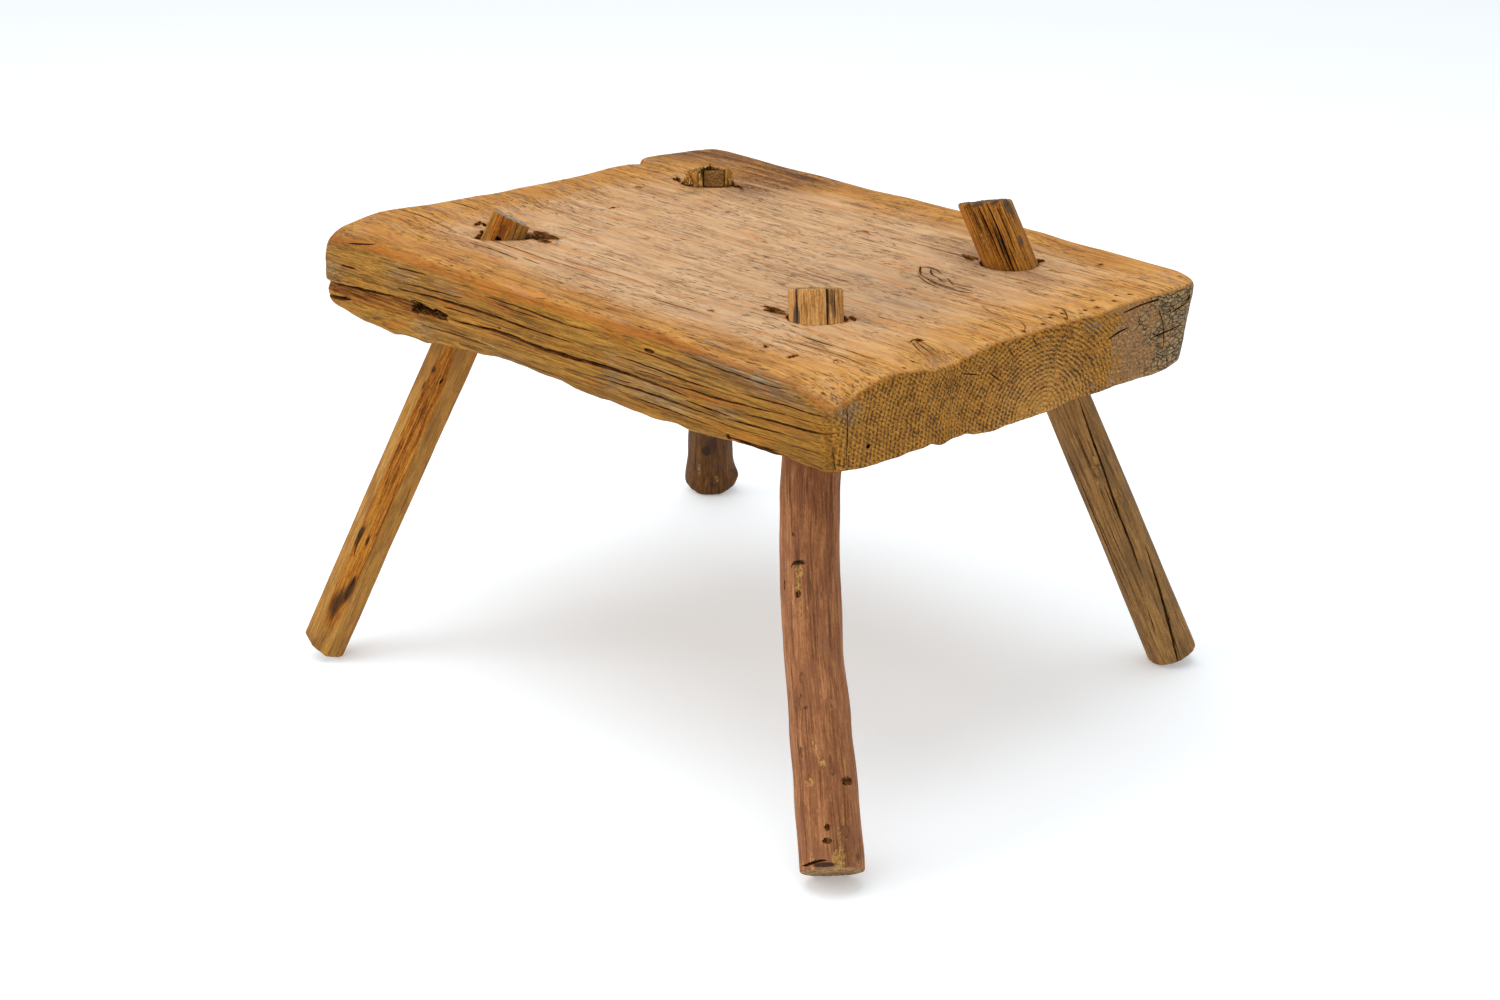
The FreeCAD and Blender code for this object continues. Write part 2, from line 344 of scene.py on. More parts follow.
def grid_faces(rows, columns, closed):
    """Quads of a grid of points stored row by row, joined round when closed."""
    faces = []
    spans = columns if closed else columns - 1
    for i in range(rows - 1):
        for j in range(spans):
            k = (j + 1) % columns
            faces.append((i * columns + j, i * columns + k, (i + 1) * columns + k, (i + 1) * columns + j))
    return faces


def capped_tube(rings):
    """A closed solid from rings of points, each end closed by a fan."""
    rings = np.asarray(rings)
    rows, columns, _ = rings.shape
    points = rings.reshape(-1, 3)
    points = np.concatenate([points, rings[:1].mean(1), rings[-1:].mean(1)])
    faces = grid_faces(rows, columns, True)
    first, last = rows * columns, rows * columns + 1
    for j in range(columns):
        k = (j + 1) % columns
        faces.append((first, k, j))
        faces.append((last, (rows - 1) * columns + j, (rows - 1) * columns + k))
    return points, faces


def crack(points, outward, width, depth, seed=0, wander=0.35, reach=6.0, across=None):
    """A tapering V-shaped gap that follows a path on a surface and runs into it."""
    points = np.asarray(points, float)
    lengths = np.concatenate([[0], np.cumsum(np.linalg.norm(np.diff(points, axis=0), axis=1))])
    count = max(6, int(lengths[-1] / (1.6)))
    along = np.linspace(0, lengths[-1], count)
    path = np.stack([np.interp(along, lengths, points[:, i]) for i in range(3)], -1)
    blur = min(count // 3, 6)
    if blur > 1:
        kernel = np.ones(2 * blur + 1) / (2 * blur + 1)
        for i in range(3):
            padded = np.concatenate([
                2 * path[0, i] - path[blur:0:-1, i],
                path[:, i],
                2 * path[-1, i] - path[-2 : -blur - 2 : -1, i],
            ])
            path[:, i] = np.convolve(padded, kernel, "valid")
    outward = unit(np.broadcast_to(np.asarray(outward, float), path.shape))
    tangent = unit(np.gradient(path, axis=0))
    side = unit(np.cross(tangent, outward))
    path = path + side * (wander * line_noise(along / 9.0, seed, 3))[:, None]
    share = along / lengths[-1]
    taper = np.clip(np.sin(np.pi * share), 0, 1) ** 0.55
    open_width = width * (0.06 + 0.94 * taper) * (1 + 0.45 * line_noise(along / 7.0, seed + 5))
    sunk = depth * (0.25 + 0.75 * taper)
    spread = (open_width / 2 * (1 + reach / sunk))[:, None]
    if across is not None:
        side = unit(np.broadcast_to(np.asarray(across, float), path.shape))
    rings = np.stack(
        [
            path + outward * reach + side * spread,
            path + outward * reach - side * spread,
            path - outward * sunk[:, None],
        ],
        axis=1,
    )
    return capped_tube(rings)


def gouge(centre, half, seed, rough=0.22, turn=0.0, tilt=0.0, cells=(2.2, 4.0, 4.0)):
    """A rough ellipsoid to cut away, longer along the grain and turned about Z."""
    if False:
        rows, columns = 12, 20
    elif max(half) < 6:
        rows, columns = 15, 24
    else:
        rows, columns = 22, 34
    polar = np.linspace(0.04, np.pi - 0.04, rows)[:, None]
    around = np.linspace(0, 2 * np.pi, columns, endpoint=False)[None, :]
    ball = np.stack(
        [
            np.cos(polar) * np.ones_like(around),
            np.sin(polar) * np.cos(around),
            np.sin(polar) * np.sin(around),
        ],
        -1,
    )
    rugged = 1 + rough * layered(ball * np.array(cells), seed, 3)
    shape = ball * rugged[..., None] * np.array(half, float)
    c, s = math.cos(math.radians(turn)), math.sin(math.radians(turn))
    turned = np.stack([shape[..., 0] * c - shape[..., 1] * s, shape[..., 0] * s + shape[..., 1] * c], -1)
    lift = shape[..., 2] + shape[..., 0] * math.tan(math.radians(tilt))
    shape = np.concatenate([turned, lift[..., None]], -1)
    return capped_tube(shape + np.array(centre, float))


def tear(centre, half, seed, count, turn=0.0):
    """A cluster of slender gouges along the grain, as where fibres have been torn out."""
    made = []
    for number in range(count):
        shift = lattice_value(np.array([[number, 1, 0], [number, 2, 0], [number, 3, 0]]), seed)
        size = 0.55 + 0.22 * (1 + lattice_value(np.array([number, 4, 0]), seed))
        place = np.array(centre) + shift * np.array([half[0] * 0.5, half[1] * 0.75, 0.0])
        slender = (half[0] * size, half[1] * (0.28 + 0.2 * size), half[2] * (0.5 + size / 2))
        made.append(gouge(place, slender, seed + number, 0.3, turn + 8 * shift[2]))
    return made


# ---------------------------------------------------------------- seat

# How far each side stands out from its straight line, by place along it
LEFT_SIDE = (
    (-160, 0.5), (-118, 3.4), (-78, -5.0), (-32, -7.6), (22, -2.6), (64, 2.6), (82, 0.5), (90, -6.0),
    (101, 4.0), (138, -2.8), (160, 0.0),
)
BACK_SIDE = ((-222, 0.0), (-150, -3.0), (-30, 0.6), (60, -0.6), (106, -3.4), (146, 1.2), (222, 0.0))
# The height of the underside's edge below the nominal one, along the front and the end
FRONT_FOOT = (
    (-222, 1.5), (-200, 4.0), (-125, 4.2), (-78, 0.2), (-44, -2.2), (-4, -2.0), (20, -0.6), (60, 0.4),
    (108, 0.6), (150, -1.0), (190, -2.4), (222, -3.6),
)
END_FOOT = (
    (-156, -3.6), (-140, -1.8), (-112, -1.2), (-86, -1.0), (-79, -2.0), (-73, -0.4), (-64, -2.2),
    (-55, -1.8), (-44, 1.2), (-30, 1.6), (2, 1.0), (40, -0.6), (78, -1.6), (100, 0.0), (130, -1.4),
)
# How far the top stands up along the left end and the back, by place along them
LEFT_LIFT = (
    (-156, 2.4), (-100, 4.0), (-60, 3.8), (-17, 3.2), (21, 1.8), (60, 0.8), (80, 1.6), (100, 3.2),
    (156, 3.2),
)
BACK_LIFT = (
    (-222, 3.0), (-189, 4.6), (-143, 4.6), (-96, 4.0), (-49, 2.9), (-2, 3.5), (91, 4.0), (138, 1.2),
    (185, 0.6), (222, 0.0),
)
# How far the top has worn down at the end's arris
END_BROW = (
    (-156, 3.0), (-132, 1.2), (-108, 0.4), (-90, 2.4), (-78, 5.2), (-64, 5.2), (-46, 2.4), (-26, 0.6),
    (40, 0.8), (52, 2.2), (70, 1.0), (100, 0.4), (156, 0.6),
)


def plan_place(x, y):
    """Rounds the rectangle's corners. Gives the place, the distance in from the outline,
    and the outward direction there."""
    px, py = x.copy(), y.copy()
    from_side_x, from_side_y = HALF_LENGTH - np.abs(x), HALF_WIDTH - np.abs(y)
    inset = np.minimum(from_side_x, from_side_y)
    by_end = from_side_x < from_side_y
    out_x = np.where(by_end, np.sign(x), 0.0)
    out_y = np.where(by_end, 0.0, np.sign(y))
    for (side_x, side_y), _, radius in CORNERS.values():
        s = (x * side_x - (HALF_LENGTH - radius)) / radius
        t = (y * side_y - (HALF_WIDTH - radius)) / radius
        inside = (s > 0) & (t > 0)
        s, t = s[inside], t[inside]
        disc_s, disc_t = s * np.sqrt(1 - t * t / 2), t * np.sqrt(1 - s * s / 2)
        px[inside] = side_x * (HALF_LENGTH - radius + disc_s * radius)
        py[inside] = side_y * (HALF_WIDTH - radius + disc_t * radius)
        reach = np.hypot(disc_s, disc_t)
        inset[inside] = radius * (1 - reach)
        out_x[inside] = side_x * disc_s / np.maximum(reach, 1e-9)
        out_y[inside] = side_y * disc_t / np.maximum(reach, 1e-9)
    return px, py, np.maximum(inset, 0), out_x, out_y


def corner_share(x, y, name, reach):
    """1 at a corner of the seat, easing to 0 at a distance summed along both sides."""
    (side_x, side_y), _, _ = CORNERS[name]
    away = (HALF_LENGTH - x * side_x) + (HALF_WIDTH - y * side_y)
    return 1 - smooth(0, reach, away)


def arris_radius(x, y, top):
    """The rounding of the seat's edges, which wear has made uneven."""
    uneven = waves(x / 34, y / 34, 3.1 if top else 8.3, 41, 2)
    on_front = smooth(-HALF_WIDTH + 20, -HALF_WIDTH, y)
    on_end = smooth(HALF_LENGTH - 20, HALF_LENGTH, x)
    if top:
        radius = 8.0 + 2.0 * uneven + on_front * (3.0 + 2.0 * uneven) - on_end * (3.4 + uneven)
        radius = np.where(corner_share(x, y, "front", 60) > 0, np.minimum(radius, 8.6), radius)
        return np.clip(radius, 3.0, 15.0)
    return np.clip(5.0 + 2.0 * uneven - on_end * 2.6, 1.6, 8.0)


def hollow_along_shake(x, z):
    """How deep the front face is hollowed below the shake that runs in from the left."""
    below = SEAT_TOP - z
    brow = profile(((-232, 34.0), (-190, 33.2), (-146, 29.5), (-136, 29.5), (-100, 30.0)), x)
    sill = profile(((-232, 39.5), (-200, 43.5), (-150, 42.5), (-120, 39.0), (-100, 35.0)), x)
    inside = smooth(-0.3, 0.3, below - brow) * (1 - smooth(0, 1, (below - brow) / (sill - brow)))
    return inside * smooth(-238, -210, x) * (1 - smooth(-118, -98, x)) * 5.2


def shape_seat(x, y, below):
    """The seat's surface for points of a box: x and y across it, below down from its top."""
    px, py, inset, out_x, out_y = plan_place(x, y)
    height = -below
    for top in (True, False):
        radius = arris_radius(px, py, top)
        down = below if top else THICKNESS - below
        near = (inset < radius) & (down < radius)
        o = np.maximum(radius - inset, 0)
        u = np.maximum(radius - down, 0)
        long = np.maximum(np.hypot(o, u), 1e-9)
        shift = np.where(near, -o + radius * o / long, 0)
        lift = np.where(near, -u + radius * u / long, 0)
        px = px + out_x * shift
        py = py + out_y * shift
        height = height + (lift if top else -lift)
    depth = -height

    # Corners that stand out, and the uneven left and back sides
    u, v = px / HALF_LENGTH, py / HALF_WIDTH
    moved_x, moved_y = px.copy(), py.copy()
    for (side_x, side_y), (out_along, out_across), _ in CORNERS.values():
        weight = (1 + side_x * u) * (1 + side_y * v) / 4
        moved_x += weight * side_x * out_along
        moved_y += weight * side_y * out_across
    by_left = smooth(-165, -HALF_LENGTH, px)
    by_back = smooth(110, HALF_WIDTH, py)
    by_front = smooth(-110, -HALF_WIDTH, py)
    by_end = smooth(185, HALF_LENGTH, px)
    ease_low = 1 - 0.55 * smooth(0, THICKNESS, depth)
    moved_x -= by_left * profile(LEFT_SIDE, moved_y) * ease_low
    moved_y += by_back * profile(BACK_SIDE, moved_x) * ease_low

    # Hewn unevenness: long waves, and finer ones that run with the grain
    solid = np.stack([moved_x, moved_y, SEAT_TOP - depth], -1)
    slow = layered(solid / np.array([95, 60, 45]), 3, 2)
    moved_x += (by_end - by_left) * 1.1 * slow
    moved_y += (by_back - by_front) * 1.2 * slow
    ribs = layered(solid / np.array([120, 9, 5.0]), 11, 3)
    ribs_fine = layered(solid / np.array([46, 3.4, 2.4]), 19, 2)
    chisel = layered(solid / np.array([6, 30, 9.0]), 29, 3)
    flank = smooth(2.0, 7.0, depth) * (1 - smooth(THICKNESS - 5, THICKNESS, depth))
    moved_y -= (by_front - by_back) * flank * (0.6 * ribs + 0.4 * ribs_fine)
    moved_x += (by_end * 0.35 - by_left * 0.5) * flank * chisel

    # A swelling low on the left corner, and the belly of the front face
    left_corner = corner_share(px, py, "left", 90)
    belly = np.sin(np.pi * np.clip(depth / THICKNESS, 0, 1))
    moved_y -= left_corner * (0.8 + 2.0 * belly) + by_front * 1.2 * belly
    moved_x -= left_corner * (1.2 + 2.5 * belly)
    moved_y -= by_front * 2.0 * smooth(36, THICKNESS, depth) * smooth(-60, -130, px)

    # The right corner is undercut, the front one worn down, and the left one rounded over
    undercut = corner_share(px, py, "right", 46) * np.clip(depth / THICKNESS, 0, 1)
    moved_x -= 6.4 * undercut
    moved_y -= 6.4 * undercut
    from_front = (HALF_LENGTH - px) + (py + HALF_WIDTH + 1)
    worn = 11.0 * np.logaddexp(0, (1 - from_front / 38) * 6) / 6
    left_over = corner_share(px, py, "left", 62)
    sunk = worn + 4.0 * left_over**1.6
    left_lift = smooth(-150, -200, px) * profile(LEFT_LIFT, py)
    sunk -= np.maximum(left_lift, smooth(105, 148, py) * profile(BACK_LIFT, px))
    sunk += by_end**2 * profile(END_BROW, py) * smooth(190, 216, px)
    top_waves = waves(moved_x / 130, moved_y / 34, 0.0, 7, 3)
    top_ribs = waves(moved_x / 90, moved_y / 7.5, 1.0, 13, 2)
    fine_ribs = waves(moved_x / 40, moved_y / 2.6, 1.0, 15, 2)
    ribbed = 0.35 + 0.65 * smooth(-60, -130, py)
    sunk += 0.4 + 0.5 * top_waves + ribbed * (0.26 * top_ribs + 0.16 * fine_ribs)
    for cx, cy, reach, swell in SWELLINGS:
        sunk -= swell * np.exp(-((px - cx) ** 2 + (py - cy) ** 2) / reach**2)
    ragged = waves(moved_x / 16, moved_y / 16, 9.0, 25, 3)
    raised = -by_front**2 * profile(FRONT_FOOT, px) + 1.1 * ragged * np.maximum(by_front, by_end)
    raised -= by_end**2 * profile(END_FOOT, py) * (1 - by_front)
    raised += corner_share(px, py, "left", 60) * 5.0
    raised += 0.8 * waves(moved_x / 60, moved_y / 40, 5.0, 23, 3)
    depth = sunk + depth * (THICKNESS - sunk - raised) / THICKNESS

    z = SEAT_TOP - depth
    moved_y += by_front * hollow_along_shake(moved_x, z)
    return np.stack([moved_x, moved_y, z], -1)


def box_lattice(xs, ys, zs):
    """The surface points of a box lattice and its quads."""
    nx, ny, nz = len(xs), len(ys), len(zs)
    i, j, k = np.meshgrid(np.arange(nx), np.arange(ny), np.arange(nz), indexing="ij")
    on_skin = (i == 0) | (i == nx - 1) | (j == 0) | (j == ny - 1) | (k == 0) | (k == nz - 1)
    number = np.full((nx, ny, nz), -1)
    number[on_skin] = np.arange(on_skin.sum())
    quads = []
    for layer, flip in (
        (number[:, :, 0], 0), (number[:, :, -1], 1), (number[:, 0, :], 1), (number[:, -1, :], 0),
        (number[0, :, :], 0), (number[-1, :, :], 1),
    ):
        a, b, c, d = layer[:-1, :-1], layer[1:, :-1], layer[1:, 1:], layer[:-1, 1:]
        quad = np.stack([a, b, c, d], -1).reshape(-1, 4)
        quads.append(quad[:, ::-1] if flip else quad)
    return xs[i[on_skin]], ys[j[on_skin]], zs[k[on_skin]], np.concatenate(quads)


def thin_underside(obj, kept):
    """Merges points in the middle of the seat's underside, which is nearly plain."""
    points = mesh_points(obj)
    group = obj.vertex_groups.new(name="plain")
    low = points[:, 2] < SEAT_TOP - THICKNESS + 6
    inner = low & (np.abs(points[:, 0]) < 196) & (np.abs(points[:, 1]) < 130)
    group.add(np.nonzero(inner)[0].tolist(), 1.0, "REPLACE")
    share = inner.mean()
    thin = obj.modifiers.new("thin", "DECIMATE")
    thin.vertex_group = group.name
    thin.ratio = 1 - share * (1 - kept)
    bake_modifiers(obj)
    obj.vertex_groups.clear()


def leg_frame(leg):
    """A leg's axis: its start at the seat's top, down, length, and two directions across."""
    start = np.array([*leg["seat"], SEAT_TOP])
    run = np.array(leg["foot"], float) - start
    length = np.linalg.norm(run)
    down = run / length
    level = unit([down[0], down[1], 0.0])
    outward = unit(level - down * np.dot(level, down))
    return start, down, length, outward, np.cross(down, outward)


def pare(leg, lateral, along, back=False):
    """Brings in the side of a tenon that faces the viewer, down to where its full round begins."""
    down = leg_frame(leg)[1]
    away = unit(AWAY - down * (AWAY @ down))
    near = np.minimum(lateral @ away, 0)
    kept = 1 - (1 - leg["pared"]) * (1 - smooth(6, 46, along))
    return lateral - away * (near * (1 - (1 / kept if back else kept)))[..., None]


def bore_cutter(name):
    """The slanting hole for a leg, with a mouth that wear has widened unevenly."""
    leg = LEGS[name]
    start, down, _, outward, sideways = leg_frame(leg)
    through = THICKNESS / -down[2]
    mouth = np.linspace(-2, 14, 26)
    along = np.concatenate([np.linspace(-38, -4, 4), mouth, np.linspace(17, through + 34, 10)])[:, None]
    turn = np.linspace(0, 2 * np.pi, 76, endpoint=False)[None, :]
    spoke = outward * np.cos(turn)[..., None] + sideways * np.sin(turn)[..., None]
    spot_on_wall = np.stack(
        [np.cos(turn) * 2.4 + 0 * along, np.sin(turn) * 2.4 + 0 * along, along / 8 + 0 * turn], -1
    )
    seed = 60 + sorted(LEGS).index(name)
    wear = 1 - smooth(1.0, 9.0, along)
    radius = leg["radius"] + BORE_EASE + wear * (1.1 + 1.5 * layered(spot_on_wall, seed, 3))
    radius = np.maximum(radius + 0.25 * layered(spot_on_wall * 2, seed + 9, 2), leg["radius"] + 0.2)
    lateral = pare(leg, spoke * radius[..., None], along) * (1 + 0.02 * wear)[..., None]
    return capped_tube(start + down * along[..., None] + lateral)


# The pith in the sawn end: its place along Y and below the top, and how far rings are squeezed
PITH = (8.0, 49.0, 0.86)

# Where the top stands a little high: a place, a reach and a height
SWELLINGS = ((-120, -112, 45, 1.5), (118, -92, 42, 1.0), (-150, 85, 42, 0.9))

# Small pits along the top's right rim
RIM_PITS = (
    (216, 45), (210, 36), (211, 25), (216, 13), (206, 67), (215, 61), (213, 52), (208, 30), (214, 76),
    (209, 84), (217, -4), (216, -60), (210, -84), (215, -96), (212, 92), (217, 31),
)

# Marks on the seat: places along X, along Y and below the top, their reaches, and strengths
MARKS = {
    "stain": (
        (-165, 140, 0, 44, 19, 9, 1.0), (-100, 141, 0, 40, 9, 9, 1.0), (-112, 105, 0, 24, 24, 9, 0.9),
        (-120, 120, 0, 34, 12, 9, 0.8), (-210, 130, 0, 20, 30, 9, 0.8), (92, 84, 0, 22, 12, 9, 0.9),
        (150, 80, 0, 22, 8, 9, 0.6), (140, -18, 0, 18, 4, 9, 0.5), (145, -55, 0, 14, 6, 9, 0.5),
        (-137, -100, 0, 26, 6, 9, 0.3), (60, -112, 0, 26, 3, 9, 0.5), (-215, -156, 8, 30, 14, 7, 0.35),
        (20, -156, 47, 46, 20, 3.0, 0.6), (-40, -156, 46, 22, 20, 2.6, 0.8),
    ),
    "smudge": (
        (83, 4, 0, 8, 4, 9, 1.0), (74, 2, 0, 7, 3, 9, 0.8), (60, 5, 0, 12, 3.5, 9, 0.6),
        (123, -23, 0, 4, 3, 9, 0.8), (102, 46, 0, 10, 4, 9, 0.8), (115, 32, 0, 18, 4, 9, 0.5),
        (130, 25, 0, 14, 3, 9, 0.7), (-108, -117, 0, 26, 3, 9, 0.7), (53, 94, 0, 5, 4, 9, 0.6),
        (110, -5, 0, 60, 40, 9, 0.35), (-132, 62, 0, 6, 7, 9, 0.6), (-79, 50, 0, 5, 3, 9, 0.6),
        (204, -67, 0, 13, 7, 9, 0.5), (165, 68, 0, 8, 4, 9, 0.5), (80, -92, 0, 30, 8, 9, 0.3),
        (-148, -24, 0, 6, 3, 9, 0.6), (-124, 13, 0, 4, 6, 9, 0.5), (30, 43, 0, 16, 3, 9, 0.5),
    ),
    "grey": (
        (-217, -156, 25, 14, 14, 8, 1.0), (50, -156, 31, 7, 14, 10, 0.7),
        (82, -156, 26, 24, 14, 8, 0.75), (140, -156, 9, 30, 14, 6, 0.6), (168, -156, 7, 26, 14, 4, 0.7),
        (140, -156, 30, 12, 14, 6, 0.5), (90, -156, 38, 26, 14, 4, 0.6),
        (-145, -156, 15, 14, 14, 7, 0.6), (-125, -156, 44, 12, 14, 5, 0.6),
        (220, -141, 15, 9, 8, 7, 0.8), (220, 50, 8, 9, 9, 2.2, 0.9), (-100, -156, 13, 16, 14, 7, 0.4),
        (190, -156, 12, 24, 14, 5, 0.45), (-60, -156, 40, 60, 14, 5, 0.25),
    ),
    "paint": (
        (-17, -156, 25, 2.2, 9, 1.2, 1.0), (-12, -156, 28, 5, 9, 2, 0.6),
        (19, -156, 23.5, 4, 9, 2.2, 0.6), (-217, -156, 21, 13, 14, 8, 0.55),
        (-210, -156, 27, 9, 14, 4, 0.5), (220, -142, 12, 7, 5, 4, 0.6), (220, 52, 7.5, 7, 7, 1.6, 0.8),
        (152, -84, 0, 8, 2, 9, 0.6), (168, -103, 0, 3, 2, 9, 0.5), (98, 3, 0, 26, 10, 9, 0.25),
    ),
}

# Long drying checks on the front face: places along X and below the top, width and depth
FRONT_CHECKS = (
    (((-231, 33.5), (-205, 33.6), (-180, 32.6), (-146, 29.4), (-134, 29.6)), 2.6, 9.0),
    (((-226, 42.6), (-212, 42.2), (-197, 40.6)), 1.08, 4.0),
    (((-98, 32.0), (-76, 31.0), (-62, 29.6), (-40, 29.2), (-10, 30.4), (18, 29.6), (44, 28.0),
      (72, 28.3), (98, 28.6), (112, 29.8)), 2.03, 11.0),
    (((-205, 19.8), (-190, 19.6)), 0.68, 3.0),
    (((-150, 23.5), (-128, 22.4), (-104, 21.2), (-60, 20.6), (-20, 21.0), (18, 20.6)), 1.28, 8.0),
    (((-64, 10.2), (-30, 10.0), (8, 11.2), (34, 10.4)), 0.74, 4.0),
    (((-145, 18.8), (-110, 17.4), (-85, 16.0)), 0.54, 3.0),
    (((-55, 12.4), (-30, 13.2), (-14, 12.6)), 0.54, 3.0),
    (((52, 19.8), (78, 19.4), (106, 20.6), (136, 20.6)), 0.94, 6.0),
    (((98, 25.2), (134, 25.0), (160, 23.0), (182, 21.4)), 1.22, 7.0),
    (((34, 36.0), (70, 35.2), (96, 35.0), (140, 36.0)), 1.08, 6.0),
    (((108, 31.8), (126, 32.4), (146, 32.4)), 1.08, 6.0),
    (((142, 34.2), (170, 33.0), (188, 31.8)), 1.22, 6.0),
    (((155, 28.4), (180, 26.6), (206, 25.6), (224, 23.6)), 1.76, 9.0),
    (((64, 40.8), (96, 40.6), (130, 42.0)), 0.94, 5.0),
    (((62, 12.4), (96, 13.4), (126, 15.2)), 0.68, 4.0),
    (((104, 7.2), (150, 8.4), (190, 7.6)), 1.22, 5.0),
    (((150, 17.4), (186, 16.0), (222, 15.6)), 1.08, 6.0),
    (((160, 39.0), (190, 37.6), (214, 36.0)), 0.68, 4.0),
    (((-200, 5.5), (-176, 2.0)), 0.68, 3.0),
    (((-150, 10.8), (-120, 9.0)), 0.54, 3.0),
    (((-128, 42.0), (-100, 40.8), (-60, 40.6)), 0.54, 3.0),
    (((-104, 25.2), (-70, 24.4)), 0.54, 3.0),
    (((40, 33.4), (66, 32.8)), 0.54, 3.0),
    (((138, 44.6), (160, 44.8), (182, 43.4)), 1.89, 5.0),
    (((70, 24.0), (92, 23.0)), 0.54, 3.0),
    (((122, 37.8), (150, 38.6), (176, 36.6)), 0.68, 4.0),
    (((186, 12.6), (206, 12.0)), 0.54, 3.0),
    (((176, 21.8), (204, 20.2), (222, 20.0)), 0.68, 4.0),
)
# Checks on the top, as points in plan, with a width and a depth
TOP_CHECKS = (
    (((-129, -106), (-112, -106), (-71, -106), (-25, -103)), 0.7, 2.5),
    (((-131, -118), (-108, -117), (-84, -118)), 0.9, 2.0),
    (((-83, -114), (-67, -115)), 0.5, 2.0),
    (((-169, -130), (-160, -131), (-155, -132)), 0.7, 2.0),
    (((-226, -108), (-180, -106), (-158, -108)), 0.4, 2.0),
    (((-60, -97), (-20, -95), (6, -96)), 0.4, 2.0),
    (((-212, -72), (-186, -70)), 0.4, 1.5),
    (((16, -112), (60, -111), (82, -112)), 0.6, 2.0),
    (((144, -101), (152, -102), (167, -101)), 1.2, 3.0),
    (((174, -100), (184, -100), (197, -100)), 1.0, 3.0),
    (((141, -113), (156, -111), (169, -109), (186, -109), (202, -112)), 0.9, 2.5),
    (((141, 17), (171, 17), (186, 21)), 0.45, 1.5),
    (((171, 13), (181, 7), (197, 5)), 0.4, 1.5),
    (((205, 6), (213, 3), (218, -6)), 0.5, 1.5),
    (((190, -3), (207, -5), (218, -12)), 0.5, 1.5),
    (((204, 43), (214, 36), (219, 30)), 0.8, 2.5),
    (((92, 44), (91, 50), (95, 51), (103, 48), (110, 45)), 1.4, 2.6),
    (((100, 36), (107, 33), (112, 31), (119, 28), (127, 25), (133, 25), (136, 26)), 1.5, 2.6),
    (((113, 32), (122, 28), (129, 28), (135, 28)), 1.2, 2.6),
    (((127, 36), (134, 35), (139, 35), (143, 38)), 1.2, 2.6),
    (((135, 25), (141, 26), (146, 28), (150, 29)), 1.4, 2.6),
    (((99, 47), (106, 40), (111, 37), (114, 38)), 1.4, 2.6),
    (((114, 38), (120, 34), (123, 34)), 1.2, 2.6),
    (((91, 47), (96, 41), (103, 35)), 1.4, 2.6),
    (((133, 32), (141, 32), (146, 32)), 1.2, 2.6),
    (((118, 41), (124, 37), (131, 33)), 1.0, 2.4),
    (((103, 32), (111, 28), (121, 23), (129, 22)), 1.0, 2.4),
    (((190, -66), (188, -62), (186, -59), (188, -58), (191, -58)), 1.1, 2.6),
    (((189, -61), (199, -66), (208, -68), (215, -68)), 1.0, 2.2),
    (((192, -60), (202, -63), (211, -64), (217, -64)), 0.9, 2.2),
    (((191, -65), (201, -71), (208, -73), (212, -72)), 0.8, 2.0),
)
# Splits in the sawn end, as places along Y and below the top, with a width and a depth
END_CHECKS = (
    (((-144, 9), (-142, 24), (-143, 44)), 0.7, 6.0),
    (((-151, 30), (-149, 46)), 0.9, 7.0),
    (((-110, 2), (-110, 9)), 0.6, 4.0),
    (((-58, 12), (-44, 16)), 0.5, 4.0),
    (((-37, 16), (-33, 19), (-28, 23)), 0.4, 3.0),
    (((-2, 4), (1, 9)), 0.5, 3.0),
    (((-22, 5), (-17, 12)), 0.5, 3.0),
    (((60, 19), (70, 16), (79, 15)), 0.6, 4.0),
    (((74, 6), (90, 4), (106, 4)), 0.8, 4.0),
    (((118, 14), (134, 11)), 0.5, 4.0),
    (((100, 26), (128, 24)), 0.5, 4.0),
    (((105, 10), (112, 22), (111, 36)), 0.4, 3.0),
)


def seat_checks():
    """Every split in the seat, as solids to cut away."""
    made = []
    for number, (path, width, depth) in enumerate(FRONT_CHECKS):
        points = [(x, -HALF_WIDTH - 1.5, SEAT_TOP - below) for x, below in path]
        made.append(crack(points, (0, -1, 0), width, depth + 2.0, 100 + number, 0.45, 9.0))
    for number, (path, width, depth) in enumerate(TOP_CHECKS):
        points = [(x, y, SEAT_TOP - 0.8) for x, y in path]
        made.append(crack(points, (0, 0, 1), width, depth, 200 + number, 0.4, 6.0))
    for number, (path, width, depth) in enumerate(END_CHECKS):
        points = [(HALF_LENGTH, y, SEAT_TOP - below) for y, below in path]
        made.append(crack(points, (1, 0, 0), width, depth, 300 + number, 0.4, 8.0))
    return made


